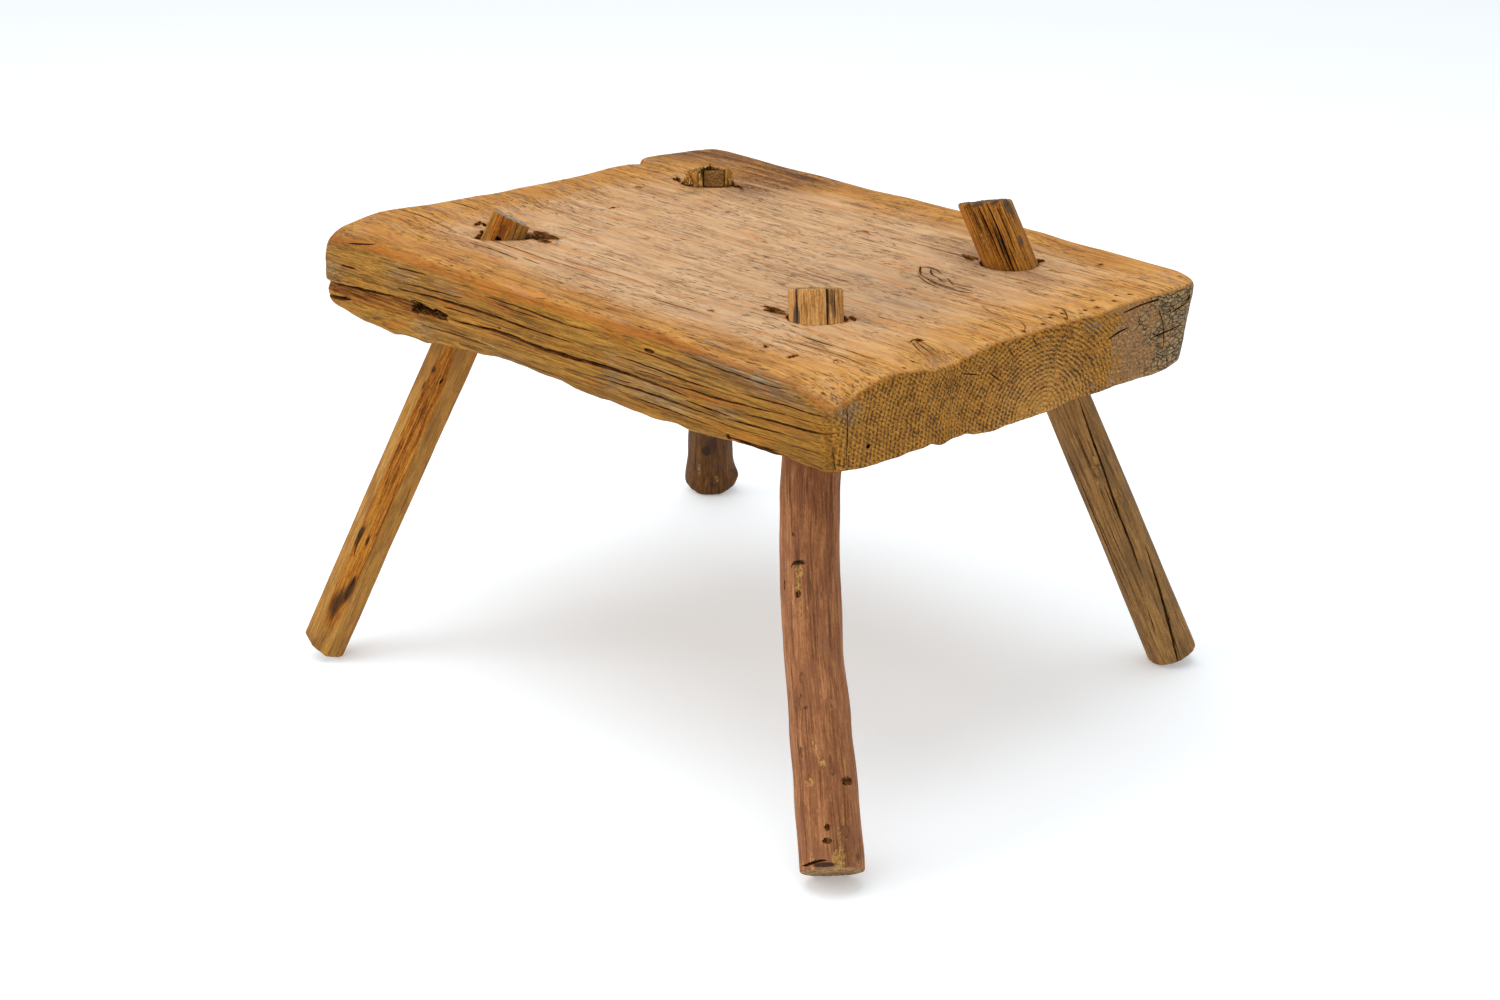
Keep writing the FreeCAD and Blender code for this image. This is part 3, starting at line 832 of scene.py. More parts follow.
def seat_flaws():
    """Wood that has gone: torn pockets that show raw wood, and worn pits that do not."""
    top = SEAT_TOP
    front = -HALF_WIDTH
    torn = [
        gouge((-129, front - 1, top - 31.6), (9.5, 17, 4.6), 1, 0.25),
        gouge((-136, front - 1, top - 34.0), (5.0, 9, 3.0), 31, 0.35),
        gouge((-111, front - 1, top - 31.6), (13, 7, 3.8), 2, 0.35),
        gouge((-102, front - 1, top - 30.2), (8, 4, 2.0), 32, 0.35, tilt=-6),
        gouge((-51, front - 1, top - 26.8), (1.3, 4, 1.2), 4),
        gouge((80, front - 1.5, top - 10.8), (4.4, 3.4, 1.2), 6, 0.3),
        gouge((142, front, top - 44.8), (1.8, 6, 1.8), 7),
        gouge((166, front + 0.5, top - 45.4), (19, 4, 1.6), 8, 0.35),
        gouge((217, front + 2, top - 7.5), (4.5, 4, 1.2), 9, 0.35, tilt=14),
        gouge((220, -127, top - 36.5), (3, 1.5, 1.3), 27),
        gouge((190, -59, top), (2.6, 2.4, 2.4), 30, 0.35, turn=-50),
        gouge((-138, 2, top), (1.8, 2.6, 1.4), 21, turn=30),
    ]
    for place, half, seed, count, turn in (
        ((-113, -77, top), (12, 8, 7), 500, 7, -8),
        ((-163, -86, top), (6, 3, 4), 520, 3, -36),
        ((-147, -97, top), (5, 2.5, 5), 530, 2, -30),
        ((99, -79, top), (9, 3.6, 5), 540, 4, 6),
        ((139, -60, top), (5, 3.5, 4), 550, 3, -40),
        ((99, 82, top), (7, 3.6, 5), 560, 4, -14),
        ((131, 108, top), (5, 3.6, 6), 570, 3, -44),
        ((150, 97, top), (8, 1.3, 1.8), 580, 2, 3),
        ((-162, 80, top), (6, 3.2, 5), 590, 3, -36),
        ((-124, 96, top), (7, 3.0, 4), 600, 3, -26),
    ):
        torn += tear(place, half, seed, count, turn)
    worn = [
        gouge((-168, front - 1.6, top - 10.4), (1.6, 2.2, 1.0), 5),
        gouge((14, 76, top + 0.4), (4.8, 3.4, 1.6), 20, 0.35),
        gouge((-166, 48, top + 0.3), (3.0, 2.0, 1.2), 33, turn=-20),
        gouge((-79, 48, top + 0.3), (3.0, 1.6, 1.2), 34, turn=-20),
        gouge((163, 126, top), (2.4, 1.4, 1.2), 22, 0.30, turn=-50),
        gouge((143, -128, top - 0.5), (2.6, 1.5, 1.2), 24, 0.30, turn=-30),
        gouge((74, -105, top), (2.2, 1.2, 1.0), 25, 0.30),
        gouge((165, -129, top - 0.5), (1.4, 4.5, 1.0), 26, 0.30),
        gouge((187, -117, top - 0.3), (3.4, 2.4, 0.9), 35, 0.3),
        gouge((-89, 86, top), (3.4, 1.3, 1.1), 29, 0.3, turn=-20),
        gouge((220, 133, top - 9), (3.4, 4.0, 2.6), 28, 0.3),
        gouge((-30, -50, top + 0.5), (6, 1.8, 1.2), 36, 0.3),
    ]
    worn += [
        gouge((x, y, top - 1.2), (1.4, 1.1, 1.8), 40 + number, 0.4)
        for number, (x, y) in enumerate(RIM_PITS)
    ]
    return worn, torn


def seat_masks(obj):
    """Where the seat's colour and grain change."""
    p = mesh_points(obj)
    n = mesh_normals(obj)
    x, y, z = p[:, 0], p[:, 1], p[:, 2]
    below = SEAT_TOP - z
    set_attribute(obj, "top", smooth(0.45, 0.85, n[:, 2]))
    set_attribute(obj, "end", smooth(0.55, 0.85, np.abs(n[:, 0])))
    edge = np.minimum(HALF_LENGTH - np.abs(x), HALF_WIDTH - np.abs(y))
    set_attribute(obj, "rim", np.clip(1 - edge / 44, 0, 1))
    # The depth in from the top or the front face, which darkens torn wood as painted shade
    set_attribute(obj, "deep", np.clip(np.minimum(below, y + HALF_WIDTH + 2) / 12, 0, 1))

    # Grain that swings round the two knots in the top
    swing = np.zeros(len(p))
    for cx, cy, size in ((116, 37, 15.0), (204, -66, 13.0)):
        near = spot(p[:, :2], (cx, cy), (size * 2.0, size))
        swing += near * np.sign(y - cy + 1e-6) * size * 0.55 * np.exp(-np.abs(y - cy) / size)
    set_attribute(obj, "grain", np.stack([x, y - swing, below], -1))
    for name, places in MARKS.items():
        total = np.zeros(len(p))
        for cx, cy, cz, rx, ry, rz, strength in places:
            total += strength * spot(np.stack([x, y, below], -1), (cx, cy, cz), (rx, ry, rz))
        set_attribute(obj, name, np.clip(total, 0, 1))
    set_attribute(obj, "shake", np.clip(hollow_along_shake(x, z) / 2.0, 0, 1) * (y < -120))
    rust = profile(((-222, -156), (-170, -152), (-140, -147), (-80, -145), (0, -145), (60, -147),
                    (100, -153), (222, -156)), x)
    line = np.exp(-(((y - rust) / 1.3) ** 2)) * (below < 14)
    set_attribute(obj, "line", line * (0.7 + 0.5 * line_noise(x / 22, 71)))


def build_seat(materials):
    """The seat, with its bores and flaws cut out of it."""
    step_x, step_y, step_z = ((2.5, 2.3, 1.25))
    xs = np.linspace(-HALF_LENGTH, HALF_LENGTH, int(2 * HALF_LENGTH / step_x) + 1)
    ys = np.linspace(-HALF_WIDTH, HALF_WIDTH, int(2 * HALF_WIDTH / step_y) + 1)
    zs = np.linspace(0, THICKNESS, int(THICKNESS / step_z) + 1)
    x, y, below, quads = box_lattice(xs, ys, zs)
    seat = make_mesh("seat", shape_seat(x, y, below), quads.tolist(), materials)
    thin_underside(seat, 0.08)
    worn, torn = seat_flaws()
    carve(seat, worn, 0)
    carve(seat, [bore_cutter(name) for name in LEGS])
    carve(seat, torn)
    carve(seat, seat_checks())
    seat_masks(seat)
    settle(seat, "seat_slab")
    return seat


# ---------------------------------------------------------------- legs


def stake_at(leg, along):
    """The radius and sideways bow of a leg, by distance down from the seat's top."""
    _, down, length, _, _ = leg_frame(leg)
    through = THICKNESS / -down[2]
    share = (along - through) / (length - through)
    radius = profile([(s, r) for s, r, _ in leg["sections"]], share)
    bow = profile([(s, b) for s, _, b in leg["sections"]], share)
    inside = smooth(-1.0, 6.0, through - along)
    return radius * (1 - inside) + leg["radius"] * inside, bow * (1 - inside)


def plane_distance(leg, lateral, which):
    """How far down the axis a line beside it meets the sawn top, the sawn foot or the floor."""
    start, down, length, _, _ = leg_frame(leg)
    if which == "top":
        normal = UP + ASIDE * leg["top_slope"][0] + AWAY * leg["top_slope"][1]
        through = start - down * leg["stub"]
    elif which == "foot":
        normal = UP + ASIDE * leg["foot_slope"][0] + AWAY * leg["foot_slope"][1]
        through = start + down * length
    else:
        normal, through = UP, np.zeros(3)
    return ((through - start - lateral) @ normal) / (down @ normal)


def leg_ends(leg, lateral):
    """How far down the axis a line beside it starts, and where it stops."""
    top = plane_distance(leg, lateral, "top")
    foot = np.minimum(plane_distance(leg, lateral, "foot"), plane_distance(leg, lateral, "floor"))
    return top, foot


def flat_sided(turn, radius, soft=0.16):
    """The radius of a bar with flats between FLAT_EDGES, its corners a little rounded."""
    edges = np.radians(np.array(FLAT_EDGES + (FLAT_EDGES[0] + 360,)))
    turn = (turn - edges[0]) % (2 * np.pi) + edges[0]
    index = np.clip(np.searchsorted(edges, turn) - 1, 0, len(edges) - 2)
    middle = (edges[index] + edges[index + 1]) / 2
    half = (edges[index + 1] - edges[index]) / 2
    flat = np.cos(half) / np.cos(turn - middle)
    return radius * (flat * (1 - soft) + soft * (flat.min() + flat.max()) / 2)


def build_leg(name, surface, wear, end_relief, materials, cuts=(), jagged=0.0):
    """A leg: its skin follows surface(turn, along), its ends are sawn, and their rims worn."""
    leg = LEGS[name]
    start, down, length, outward, sideways = leg_frame(leg)
    aside = ASIDE - down * (ASIDE @ down)
    columns = 180
    turn = np.linspace(0, 2 * np.pi, columns, endpoint=False)
    spoke = outward * np.cos(turn)[:, None] + sideways * np.sin(turn)[:, None]
    seed = 80 + sorted(LEGS).index(name) * 7
    rim = np.stack([np.cos(turn) * 2.5, np.sin(turn) * 2.5, np.zeros_like(turn)], -1)
    top_wear = wear[0] * (1 + 0.5 * layered(rim, seed, 3))
    foot_wear = wear[1] * (1 + 0.5 * layered(rim, seed + 3, 3))
    jag = jagged * (1 + layered(rim * 2.4, seed + 5, 3))

    def skin(along):
        """Offsets from the axis to the skin, all round, at a distance down for each column."""
        radius, bow = surface(turn, along), stake_at(leg, along)[1]
        return pare(leg, spoke * radius[:, None], along) + aside * bow[:, None]

    top = np.full(columns, -leg["stub"])
    foot = np.full(columns, length)
    for _ in range(8):
        top = plane_distance(leg, skin(top), "top") + jag
        foot = leg_ends(leg, skin(foot))[1]
    long = (foot - top).mean()
    edge_steps = np.array([0.0, 0.15, 0.4, 0.8, 1.3, 2.0, 2.8, 3.8]) / long
    rows = int(long / (1.4))
    inner_steps = np.linspace(5.0 / long, 1 - 5.0 / long, rows)
    shares = np.concatenate([edge_steps, inner_steps, 1 - edge_steps[::-1]])
    rings = []
    for share in shares:
        along = top + (foot - top) * share
        lateral = skin(along)
        from_top, from_foot = along - top, foot - along
        less = np.zeros(columns)
        for gap, worn in ((from_top, top_wear), (from_foot, foot_wear)):
            g = np.clip(worn - gap, 0, worn)
            less += worn - np.sqrt(np.maximum(worn**2 - g**2, 0))
        lateral = lateral - spoke * less[:, None]
        rings.append(start + down * along[:, None] + lateral)

    def cap(rim_ring, which):
        """Rings from a rim in to the leg's middle, on the sawn end."""
        lateral = rim_ring - start
        lateral = lateral - (lateral @ down)[:, None] * down
        middle = lateral.mean(0)
        made = []
        for share in np.linspace(0, 1, 22)[1:-1]:
            inner = middle + (lateral - middle) * (1 - share)
            ends = leg_ends(leg, inner)
            along = ends[0] + jag * (1 - share) if which == "top" else ends[1]
            edge_blend = smooth(0.0, 0.12, share)
            along = along + end_relief(inner @ outward, inner @ sideways, which) * edge_blend
            made.append(start + down * along[:, None] + inner)
        return made

    rings = cap(rings[0], "top")[::-1] + rings + cap(rings[-1], "foot")
    points, faces = capped_tube(np.array(rings))
    points[:, 2] = np.maximum(points[:, 2], FLOOR_GAP)
    obj = make_mesh(name + "_wood", points, faces, materials)
    for index, group in cuts:
        carve(obj, group, index)
    return obj


def leg_places(obj, name):
    """For each vertex of a leg: distance down, angle, and offsets across its axis."""
    leg = LEGS[name]
    start, down, _, outward, sideways = leg_frame(leg)
    offset = mesh_points(obj) - start
    along = offset @ down
    bow = stake_at(leg, along)[1]
    aside = ASIDE - down * (ASIDE @ down)
    lateral = offset - down * along[:, None] - aside * bow[:, None]
    lateral = pare(leg, lateral, along, back=True)
    a, b = lateral @ outward, lateral @ sideways
    return along, np.arctan2(b, a), a, b


def on_leg(turn, along, centre_turn, centre_along, across, length, radius=16.0):
    """1 at a place on a leg's skin, falling off over distances across and along it."""
    away = (turn - math.radians(centre_turn) + np.pi) % (2 * np.pi) - np.pi
    return np.exp(-((away * radius / across) ** 2) - ((along - centre_along) / length) ** 2)


def leg_point(name, turn, along, radius=None):
    """The point on a leg's skin at an angle in degrees and a distance down."""
    leg = LEGS[name]
    start, down, _, outward, sideways = leg_frame(leg)
    around = math.radians(turn)
    skin_radius, bow = stake_at(leg, np.array([float(along)]))
    aside = ASIDE - down * (ASIDE @ down)
    spoke = outward * math.cos(around) + sideways * math.sin(around)
    lateral = pare(leg, spoke * (radius or skin_radius[0]), float(along))
    return start + down * along + lateral + aside * bow[0], spoke


def leg_crack(name, places, width, depth, seed):
    """A split along a leg through (angle, distance down) places."""
    points, spokes = zip(*[leg_point(name, turn, along) for turn, along in places])
    return crack(points, unit(np.mean(spokes, axis=0)), width, depth, seed, 0.3, 4.0)


def leg_gouge(name, turn, along, half, seed, rough=0.3):
    """A rough hollow in a leg's skin: half its size along the leg, round it and into it."""
    centre, spoke = leg_point(name, turn, along)
    down = leg_frame(LEGS[name])[1]
    points, faces = gouge((0, 0, 0), half, seed, rough)
    around = np.cross(down, spoke)
    return centre + points @ np.stack([down, around, spoke]), faces


def leg_cracks(name, splits, seed):
    """Splits along a leg, from (places, width, depth), each with the next seed."""
    return [
        leg_crack(name, places, width, depth, seed + i)
        for i, (places, width, depth) in enumerate(splits)
    ]


def leg_gouges(name, hollows, seed, rough=0.3):
    """Hollows in a leg's skin, from (angle, distance down, half size), each with the next seed."""
    return [
        leg_gouge(name, turn, along, half, seed + i, rough)
        for i, (turn, along, half) in enumerate(hollows)
    ]


def wood_noise(turn, along, seed, across=1.0, length=30.0, octaves=3, radius=16.0):
    """Noise on a leg's skin, drawn out along it and joined up round it."""
    around = np.stack([np.cos(turn) * radius / across, np.sin(turn) * radius / across, along / length], -1)
    return layered(around, seed, octaves)


def front_skin(turn, along):
    """The front leg's radius, by turn and place along it."""
    radius = stake_at(LEGS["leg_front"], along)[0]
    bark = smooth(40, 62, along)
    radius = radius + bark * (
        0.32 * wood_noise(turn, along, 1, 3.0, 26) + 0.5 * wood_noise(turn, along, 2, 14, 40, 2)
    )
    return radius + (1 - bark) * 0.25 * wood_noise(turn, along, 3, 1.6, 40)


def right_skin(turn, along):
    """The right leg's radius, by turn and place along it."""
    radius = stake_at(LEGS["leg_right"], along)[0]
    ribs = 0.34 * wood_noise(turn, along, 5, 1.8, 90) + 0.25 * wood_noise(turn, along, 6, 9, 60, 2)
    return radius + np.where(along < 56, np.minimum(ribs, 0.0), ribs)


def back_skin(turn, along):
    """The back leg's radius, by turn and place along it."""
    radius = stake_at(LEGS["leg_back"], along)[0]
    ribs = 0.35 * wood_noise(turn, along, 8, 2.4, 40) + 0.5 * wood_noise(turn, along, 9, 12, 36, 2)
    crumbled = smooth(6, -2, along) * np.maximum(1.0 + 3.4 * wood_noise(turn, along, 10, 2.6, 3.2), -0.8)
    bump = 2.4 * on_leg(turn, along, 100, 281, 5.0, 6.0)
    return radius + np.where(along < 58, np.minimum(ribs, 0.0), ribs) - crumbled + bump


def left_skin(turn, along):
    """The left leg's radius, by turn and place along it."""
    size = profile(((-20, 12.8), (0, 13.0), (26, 15.0), (70, 15.0), (310, 14.7)), along)
    radius = flat_sided(turn + 0.05 * np.sin(along / 37), size, 0.10)
    heart = np.exp(-((np.degrees(turn) - 294) / 24) ** 2) * smooth(76, 96, along)
    radius = radius - heart * (0.5 + 0.55 * wood_noise(turn, along, 14, 1.6, 9))
    fine = 0.16 * wood_noise(turn, along, 12, 2.0, 50)
    return radius + fine + 0.2 * wood_noise(turn, along, 13, 9, 30, 2) - 0.1


def rough_end(seed, size=0.5, cell=3.0):
    """Unevenness of a sawn end, as a function of the offsets across the leg."""

    def relief(a, b, which):
        """The height at offsets across, which differs between the top and the foot."""
        shift = 0.0 if which == "top" else 50.0
        return size * waves(a / cell + shift, b / cell, 0.4, seed, 3)

    return relief


# ---------------------------------------------------------------- materials


class Shader:
    """Builds a material's node tree one named step at a time."""

    def __init__(self, name):
        self.material = bpy.data.materials.new(name)
        self.material.use_nodes = True
        self.nodes = self.material.node_tree.nodes
        self.links = self.material.node_tree.links
        self.nodes.clear()
        self.surface = self.nodes.new("ShaderNodeBsdfPrincipled")
        output = self.nodes.new("ShaderNodeOutputMaterial")
        self.links.new(self.surface.outputs["BSDF"], output.inputs["Surface"])

    def put(self, socket, value):
        """Links a socket's value, or sets a plain one."""
        if isinstance(value, bpy.types.NodeSocket):
            self.links.new(value, socket)
        elif isinstance(value, (tuple, list)) and socket.type == "RGBA":
            socket.default_value = (*value[:3], 1.0)
        else:
            socket.default_value = value

    def add(self, kind, inputs, **settings):
        """A new node with these settings, its inputs linked or set by name or number."""
        node = self.nodes.new("ShaderNode" + kind)
        for setting, value in settings.items():
            setattr(node, setting, value)
        for socket, value in inputs.items():
            self.put(node.inputs[socket], value)
        return node

    def attribute(self, name, vector=False):
        """A value or a vector that the mesh holds for each of its points."""
        return self.add("Attribute", {}, attribute_name=name).outputs["Vector" if vector else "Fac"]

    def math(self, operation, a, b=0.0, c=0.0, clamp=False):
        """One sum on up to three values."""
        return self.add("Math", {0: a, 1: b, 2: c}, operation=operation, use_clamp=clamp).outputs[0]

    def scaled(self, vector, scale, offset=(0.0, 0.0, 0.0)):
        """A vector scaled along each axis, and then shifted."""
        return self.add("Mapping", {"Vector": vector, "Scale": scale, "Location": offset}).outputs[0]

    def noise(self, vector, scale, detail=3.0, roughness=0.55, distortion=0.0, offset=(0.0, 0.0, 0.0)):
        """Fractal noise, by its frequency along each axis."""
        inputs = {"Vector": self.scaled(vector, scale, offset), "Scale": 1.0, "Detail": detail}
        inputs |= {"Roughness": roughness, "Distortion": distortion}
        return self.add("TexNoise", inputs).outputs[0]

    def cell_edges(self, vector, scale):
        """The distance to the nearest edge in a net of uneven cells."""
        inputs = {"Vector": self.scaled(vector, scale), "Scale": 1.0}
        return self.add("TexVoronoi", inputs, feature="DISTANCE_TO_EDGE").outputs["Distance"]

    def total(self, *terms):
        """The sum of (value, weight) terms."""
        result = 0.0
        for value, weight in terms:
            result = self.math("MULTIPLY_ADD", value, weight, result)
        return result

    def blend(self, share, a, b):
        """The value a where share is 0, and b where it is 1."""
        return self.total((a, 1.0), (self.math("MULTIPLY", share, self.math("SUBTRACT", b, a)), 1.0))

    def streaks(self, grain, along, across, offset, low, high):
        """Streaks that follow the grain: 1 on them and 0 between them."""
        return self.rise(self.noise(grain, (along, across, across), 4.0, 0.6, 0.3, offset), low, high)

    def rise(self, value, low, high):
        """0 to 1 smoothly as value goes from low to high, which may be the lower number."""
        inputs = {"Value": value, "From Min": low, "From Max": high}
        return self.add("MapRange", inputs, interpolation_type="SMOOTHSTEP").outputs[0]

    def ramp(self, value, stops):
        """A colour ramp through (place, colour) stops."""
        node = self.add("ValToRGB", {0: value})
        elements = node.color_ramp.elements
        for place, _ in stops[2:]:
            elements.new(place)
        for element, (place, _) in zip(elements, stops):
            element.position = place
        for element, (_, colour) in zip(elements, stops):
            element.color = (*colour, 1.0)
        return node.outputs[0]

    def mix(self, share, a, b):
        """The colour a where share is 0, and b where it is 1."""
        return self.add("Mix", {0: share, 6: a, 7: b}, data_type="RGBA", clamp_factor=True).outputs[2]

    def tint(self, colour, share, strength, shade):
        """A colour moved towards a shade by a share times a strength."""
        return self.mix(self.math("MULTIPLY", share, strength), colour, shade)

    def finish(self, colour, roughness, height, distance, strength=1.0, specular=0.16):
        """Gives the surface its colour, roughness and bumps, and hands over the material."""
        bump = self.add("Bump", {"Strength": strength, "Distance": distance, "Height": height})
        for socket, value in (
            ("Base Color", colour), ("Roughness", roughness), ("Specular IOR Level", specular),
            ("Normal", bump.outputs[0]),
        ):
            self.put(self.surface.inputs[socket], value)
        return self.material


def linear(red, green, blue):
    """An sRGB colour, 0 to 255, as the linear values that shaders use."""
    shares = [c / 255 for c in (red, green, blue)]
    return tuple(c / 12.92 if c <= 0.04 else ((c + 0.055) / 1.055) ** 2.4 for c in shares)


def shades(s, value, *colours, spread=0.12):
    """A ramp through sRGB colours, evenly spaced about the middle of a noise value."""
    places = np.linspace(0.5 - spread, 0.5 + spread, len(colours))
    return s.ramp(value, [(place, linear(*colour)) for place, colour in zip(places, colours)])


def seat_material():
    """The seat's weathered wood, coloured by what its mesh says of each point."""
    s = Shader("seat_wood")
    grain = s.attribute("grain", vector=True)
    x, y, below = s.add("SeparateXYZ", {0: grain}).outputs
    top, end, rim = s.attribute("top"), s.attribute("end"), s.attribute("rim")
    fibre = s.noise(grain, (0.035, 1.0, 1.0), 5.0, 0.68, 0.25)
    band = s.noise(grain, (0.010, 0.17, 0.17), 4.0, 0.62, 0.4, offset=(9, 4, 2))
    cloud = s.noise(grain, (0.014, 0.024, 0.024), 4.0, 0.6, offset=(3, 7, 1))
    speckle = s.noise(grain, (0.24, 0.9, 0.9), 4.0, 0.75, offset=(5, 1, 8))
    tone = s.total((fibre, 0.45), (band, 0.35), (speckle, 0.20))

    # Top: pale and worn in the middle, more orange towards the rim and the ends
    pale = shades(s, tone, (170, 124, 82), (206, 165, 121), (226, 190, 150))
    warm = shades(s, tone, (138, 84, 28), (190, 132, 60), (218, 166, 94))
    left = s.rise(x, -70.0, -215.0)
    right = s.rise(x, 120.0, 215.0)
    back = s.rise(y, 60.0, 150.0)
    warmth = s.total((rim, 1.0), (cloud, 0.9), (left, 0.55), (right, 0.12), (back, 0.3))
    top_colour = s.mix(s.rise(warmth, 0.50, 1.25), pale, warm)
    golden = shades(s, tone, (170, 110, 44), (217, 157, 82), (240, 190, 116))
    top_colour = s.tint(top_colour, right, 0.75, golden)
    orange = s.streaks(grain, 0.016, 0.13, (1, 8, 4), 0.52, 0.68)
    top_colour = s.tint(top_colour, orange, 0.5, linear(204, 132, 62))
    lilac = s.streaks(grain, 0.022, 0.15, (8, 3, 9), 0.52, 0.66)
    top_colour = s.tint(top_colour, lilac, 0.34, linear(176, 146, 126))
    crowd = s.noise(grain, (0.02, 0.03, 0.03), 2.0, offset=(8, 2, 5))
    hairs = s.streaks(grain, 0.022, 0.80, (11, 3, 5), 0.58, 0.64)
    hairs = s.math("MULTIPLY", hairs, s.rise(crowd, 0.34, 0.56))
    top_colour = s.tint(top_colour, hairs, 0.70, linear(112, 72, 38))
    fine = s.streaks(grain, 0.06, 1.35, (3, 9, 1), 0.55, 0.68)
    top_colour = s.tint(top_colour, fine, 0.36, linear(138, 88, 42))
    fleck = s.streaks(grain, 0.12, 0.95, (2, 6, 3), 0.59, 0.64)
    fleck = s.math("MULTIPLY", fleck, s.rise(crowd, 0.34, 0.52))
    top_colour = s.tint(top_colour, fleck, 0.85, linear(84, 58, 38))

    # Flanks: golden brown with orange and olive bands and dark fibre lines
    ochre = shades(s, tone, (106, 64, 14), (168, 114, 34), (208, 150, 56))
    ochre = s.tint(ochre, orange, 0.6, linear(196, 112, 30))
    olive = s.streaks(grain, 0.020, 0.11, (4, 9, 6), 0.50, 0.64)
    ochre = s.tint(ochre, olive, 0.24, linear(136, 106, 46))
    lines = s.streaks(grain, 0.014, 0.95, (7, 7, 7), 0.58, 0.64)
    thin = s.streaks(grain, 0.03, 1.6, (2, 5, 7), 0.56, 0.64)
    ochre = s.tint(ochre, lines, 0.62, linear(78, 50, 26))
    ochre = s.tint(ochre, thin, 0.35, linear(104, 68, 34))

    # End grain: rings about the pith crossed by slanting saw marks, which leave dark dots
    waver = s.noise(grain, (0.0, 0.05, 0.05), 3.0)
    pith_y, pith_below, ring_squeeze = PITH
    across = s.math("MULTIPLY", s.math("SUBTRACT", y, pith_y), ring_squeeze)
    down = s.math("SUBTRACT", below, pith_below)
    radius = s.math("SQRT", s.math("ADD", s.math("POWER", across, 2.0), s.math("POWER", down, 2.0)))
    rings = s.math("SINE", s.total((radius, 2.35), (waver, 14.0)))
    saw = s.math("SINE", s.total((y, 1.62), (below, -2.32), (waver, 10.0)))
    pores = s.noise(grain, (0.2, 0.62, 0.62), 4.0, 0.75, offset=(1, 1, 1))
    coarse = s.noise(grain, (0.1, 0.10, 0.10), 3.0, 0.6, offset=(6, 1, 1))
    near_pith = s.rise(radius, 30.0, 8.0)
    dots = s.total((rings, 0.34), (saw, 0.26), (pores, 6.4), (coarse, 1.3), (near_pith, -0.5))
    dots = s.rise(dots, 3.88, 4.50)
    end_colour = shades(s, pores, (164, 106, 30), (200, 136, 48), (224, 166, 76))
    end_colour = s.tint(end_colour, s.rise(coarse, 0.48, 0.64), 0.4, linear(176, 112, 40))
    arc = s.math("MULTIPLY", s.rise(rings, 0.2, -0.9), s.rise(radius, 46.0, 20.0))
    end_colour = s.tint(end_colour, arc, 0.4, linear(204, 164, 104))
    end_colour = s.tint(end_colour, dots, 0.88, linear(70, 42, 12))

    # Its right part is smoother and pinkish, then grey and crackled
    ragged_y = s.total((y, 1.0), (coarse, 110.0), (pores, 24.0))
    smoothed = s.rise(ragged_y, 130.0, 142.0)
    plain = shades(s, pores, (140, 98, 56), (178, 131, 82), (202, 156, 104))
    end_colour = s.mix(smoothed, end_colour, plain)
    greyed = s.rise(ragged_y, 160.0, 174.0)
    crackle = s.cell_edges(grain, (0.05, 0.17, 0.40))
    crackle = s.math("MULTIPLY", s.rise(crackle, 0.14, 0.02), s.rise(speckle, 0.38, 0.50))
    old = shades(s, pores, (120, 92, 58), (166, 134, 88), (204, 172, 122))
    old = s.tint(old, crackle, 0.95, linear(48, 36, 26))
    end_colour = s.mix(greyed, end_colour, old)

    # The worn arrises are more orange than the faces beside them
    arris = s.math("MULTIPLY", top, s.math("SUBTRACT", 1.0, top))
    colour = s.mix(top, ochre, top_colour)
    colour = s.mix(s.math("MULTIPLY", arris, 3.0, clamp=True), colour, linear(178, 104, 24))
    colour = s.mix(end, colour, end_colour)

    # Stains, smudges, the shake's raw wood, grey weathering and specks of paint
    ragged = s.total((band, 1.1), (speckle, 0.7))
    stain = s.math("MULTIPLY", s.attribute("stain"), s.rise(ragged, 0.74, 0.98))
    colour = s.tint(colour, stain, 0.95, linear(92, 58, 38))
    smudge = s.math("MULTIPLY", s.attribute("smudge"), s.rise(ragged, 0.80, 0.98))
    colour = s.tint(colour, smudge, 0.9, linear(96, 84, 72))
    raw = shades(s, fibre, (92, 44, 10), (156, 92, 28), (200, 136, 58))
    colour = s.mix(s.attribute("shake"), colour, raw)
    line = s.math("MULTIPLY", s.attribute("line"), s.rise(speckle, 0.36, 0.56))
    colour = s.tint(colour, line, 0.75, linear(106, 52, 20))
    patch = s.math("MULTIPLY", s.attribute("grey"), s.rise(ragged, 0.74, 1.0))
    weathered = shades(s, fibre, (78, 68, 56), (134, 118, 94), (176, 160, 134))
    colour = s.tint(colour, patch, 0.85, weathered)
    paint = s.math("ADD", s.attribute("paint"), s.math("MULTIPLY", s.math("SUBTRACT", speckle, 0.5), 2.4))
    colour = s.tint(colour, s.rise(paint, 0.66, 0.90), 0.8, linear(206, 196, 178))

    flank_height = s.total((fibre, 0.9), (band, 0.5), (lines, -0.4), (thin, -0.2))
    top_height = s.total((fibre, 0.6), (band, 0.5), (hairs, -0.25), (fleck, -0.35))
    end_height = s.total((dots, -0.5), (pores, 0.5), (crackle, -0.4))
    height = s.blend(end, s.blend(top, flank_height, top_height), end_height)
    rough = s.math("ADD", 0.55, s.math("MULTIPLY", tone, 0.25))
    return s.finish(colour, rough, height, 0.0016, 0.9)


def torn_material(name, dark, mid, pale):
    """Torn or split wood inside gaps, with paler fibres near the surface and painted shade that darkens it
    with depth.
    """
    s = Shader(name)
    grain = s.attribute("grain", vector=True)
    fibre = s.noise(grain, (0.10, 0.8, 0.8), 5.0, 0.7, 0.3)
    colour = shades(s, fibre, dark, mid, pale)
    # Painted shade: the torn wood turns towards black with its depth in the gap
    shade = s.rise(s.attribute("deep"), 0.25, 0.95)
    colour = s.tint(colour, shade, 0.9, tuple(c * 0.2 for c in linear(*dark)))
    return s.finish(colour, 0.85, fibre, 0.0022, 1.0, 0.1)


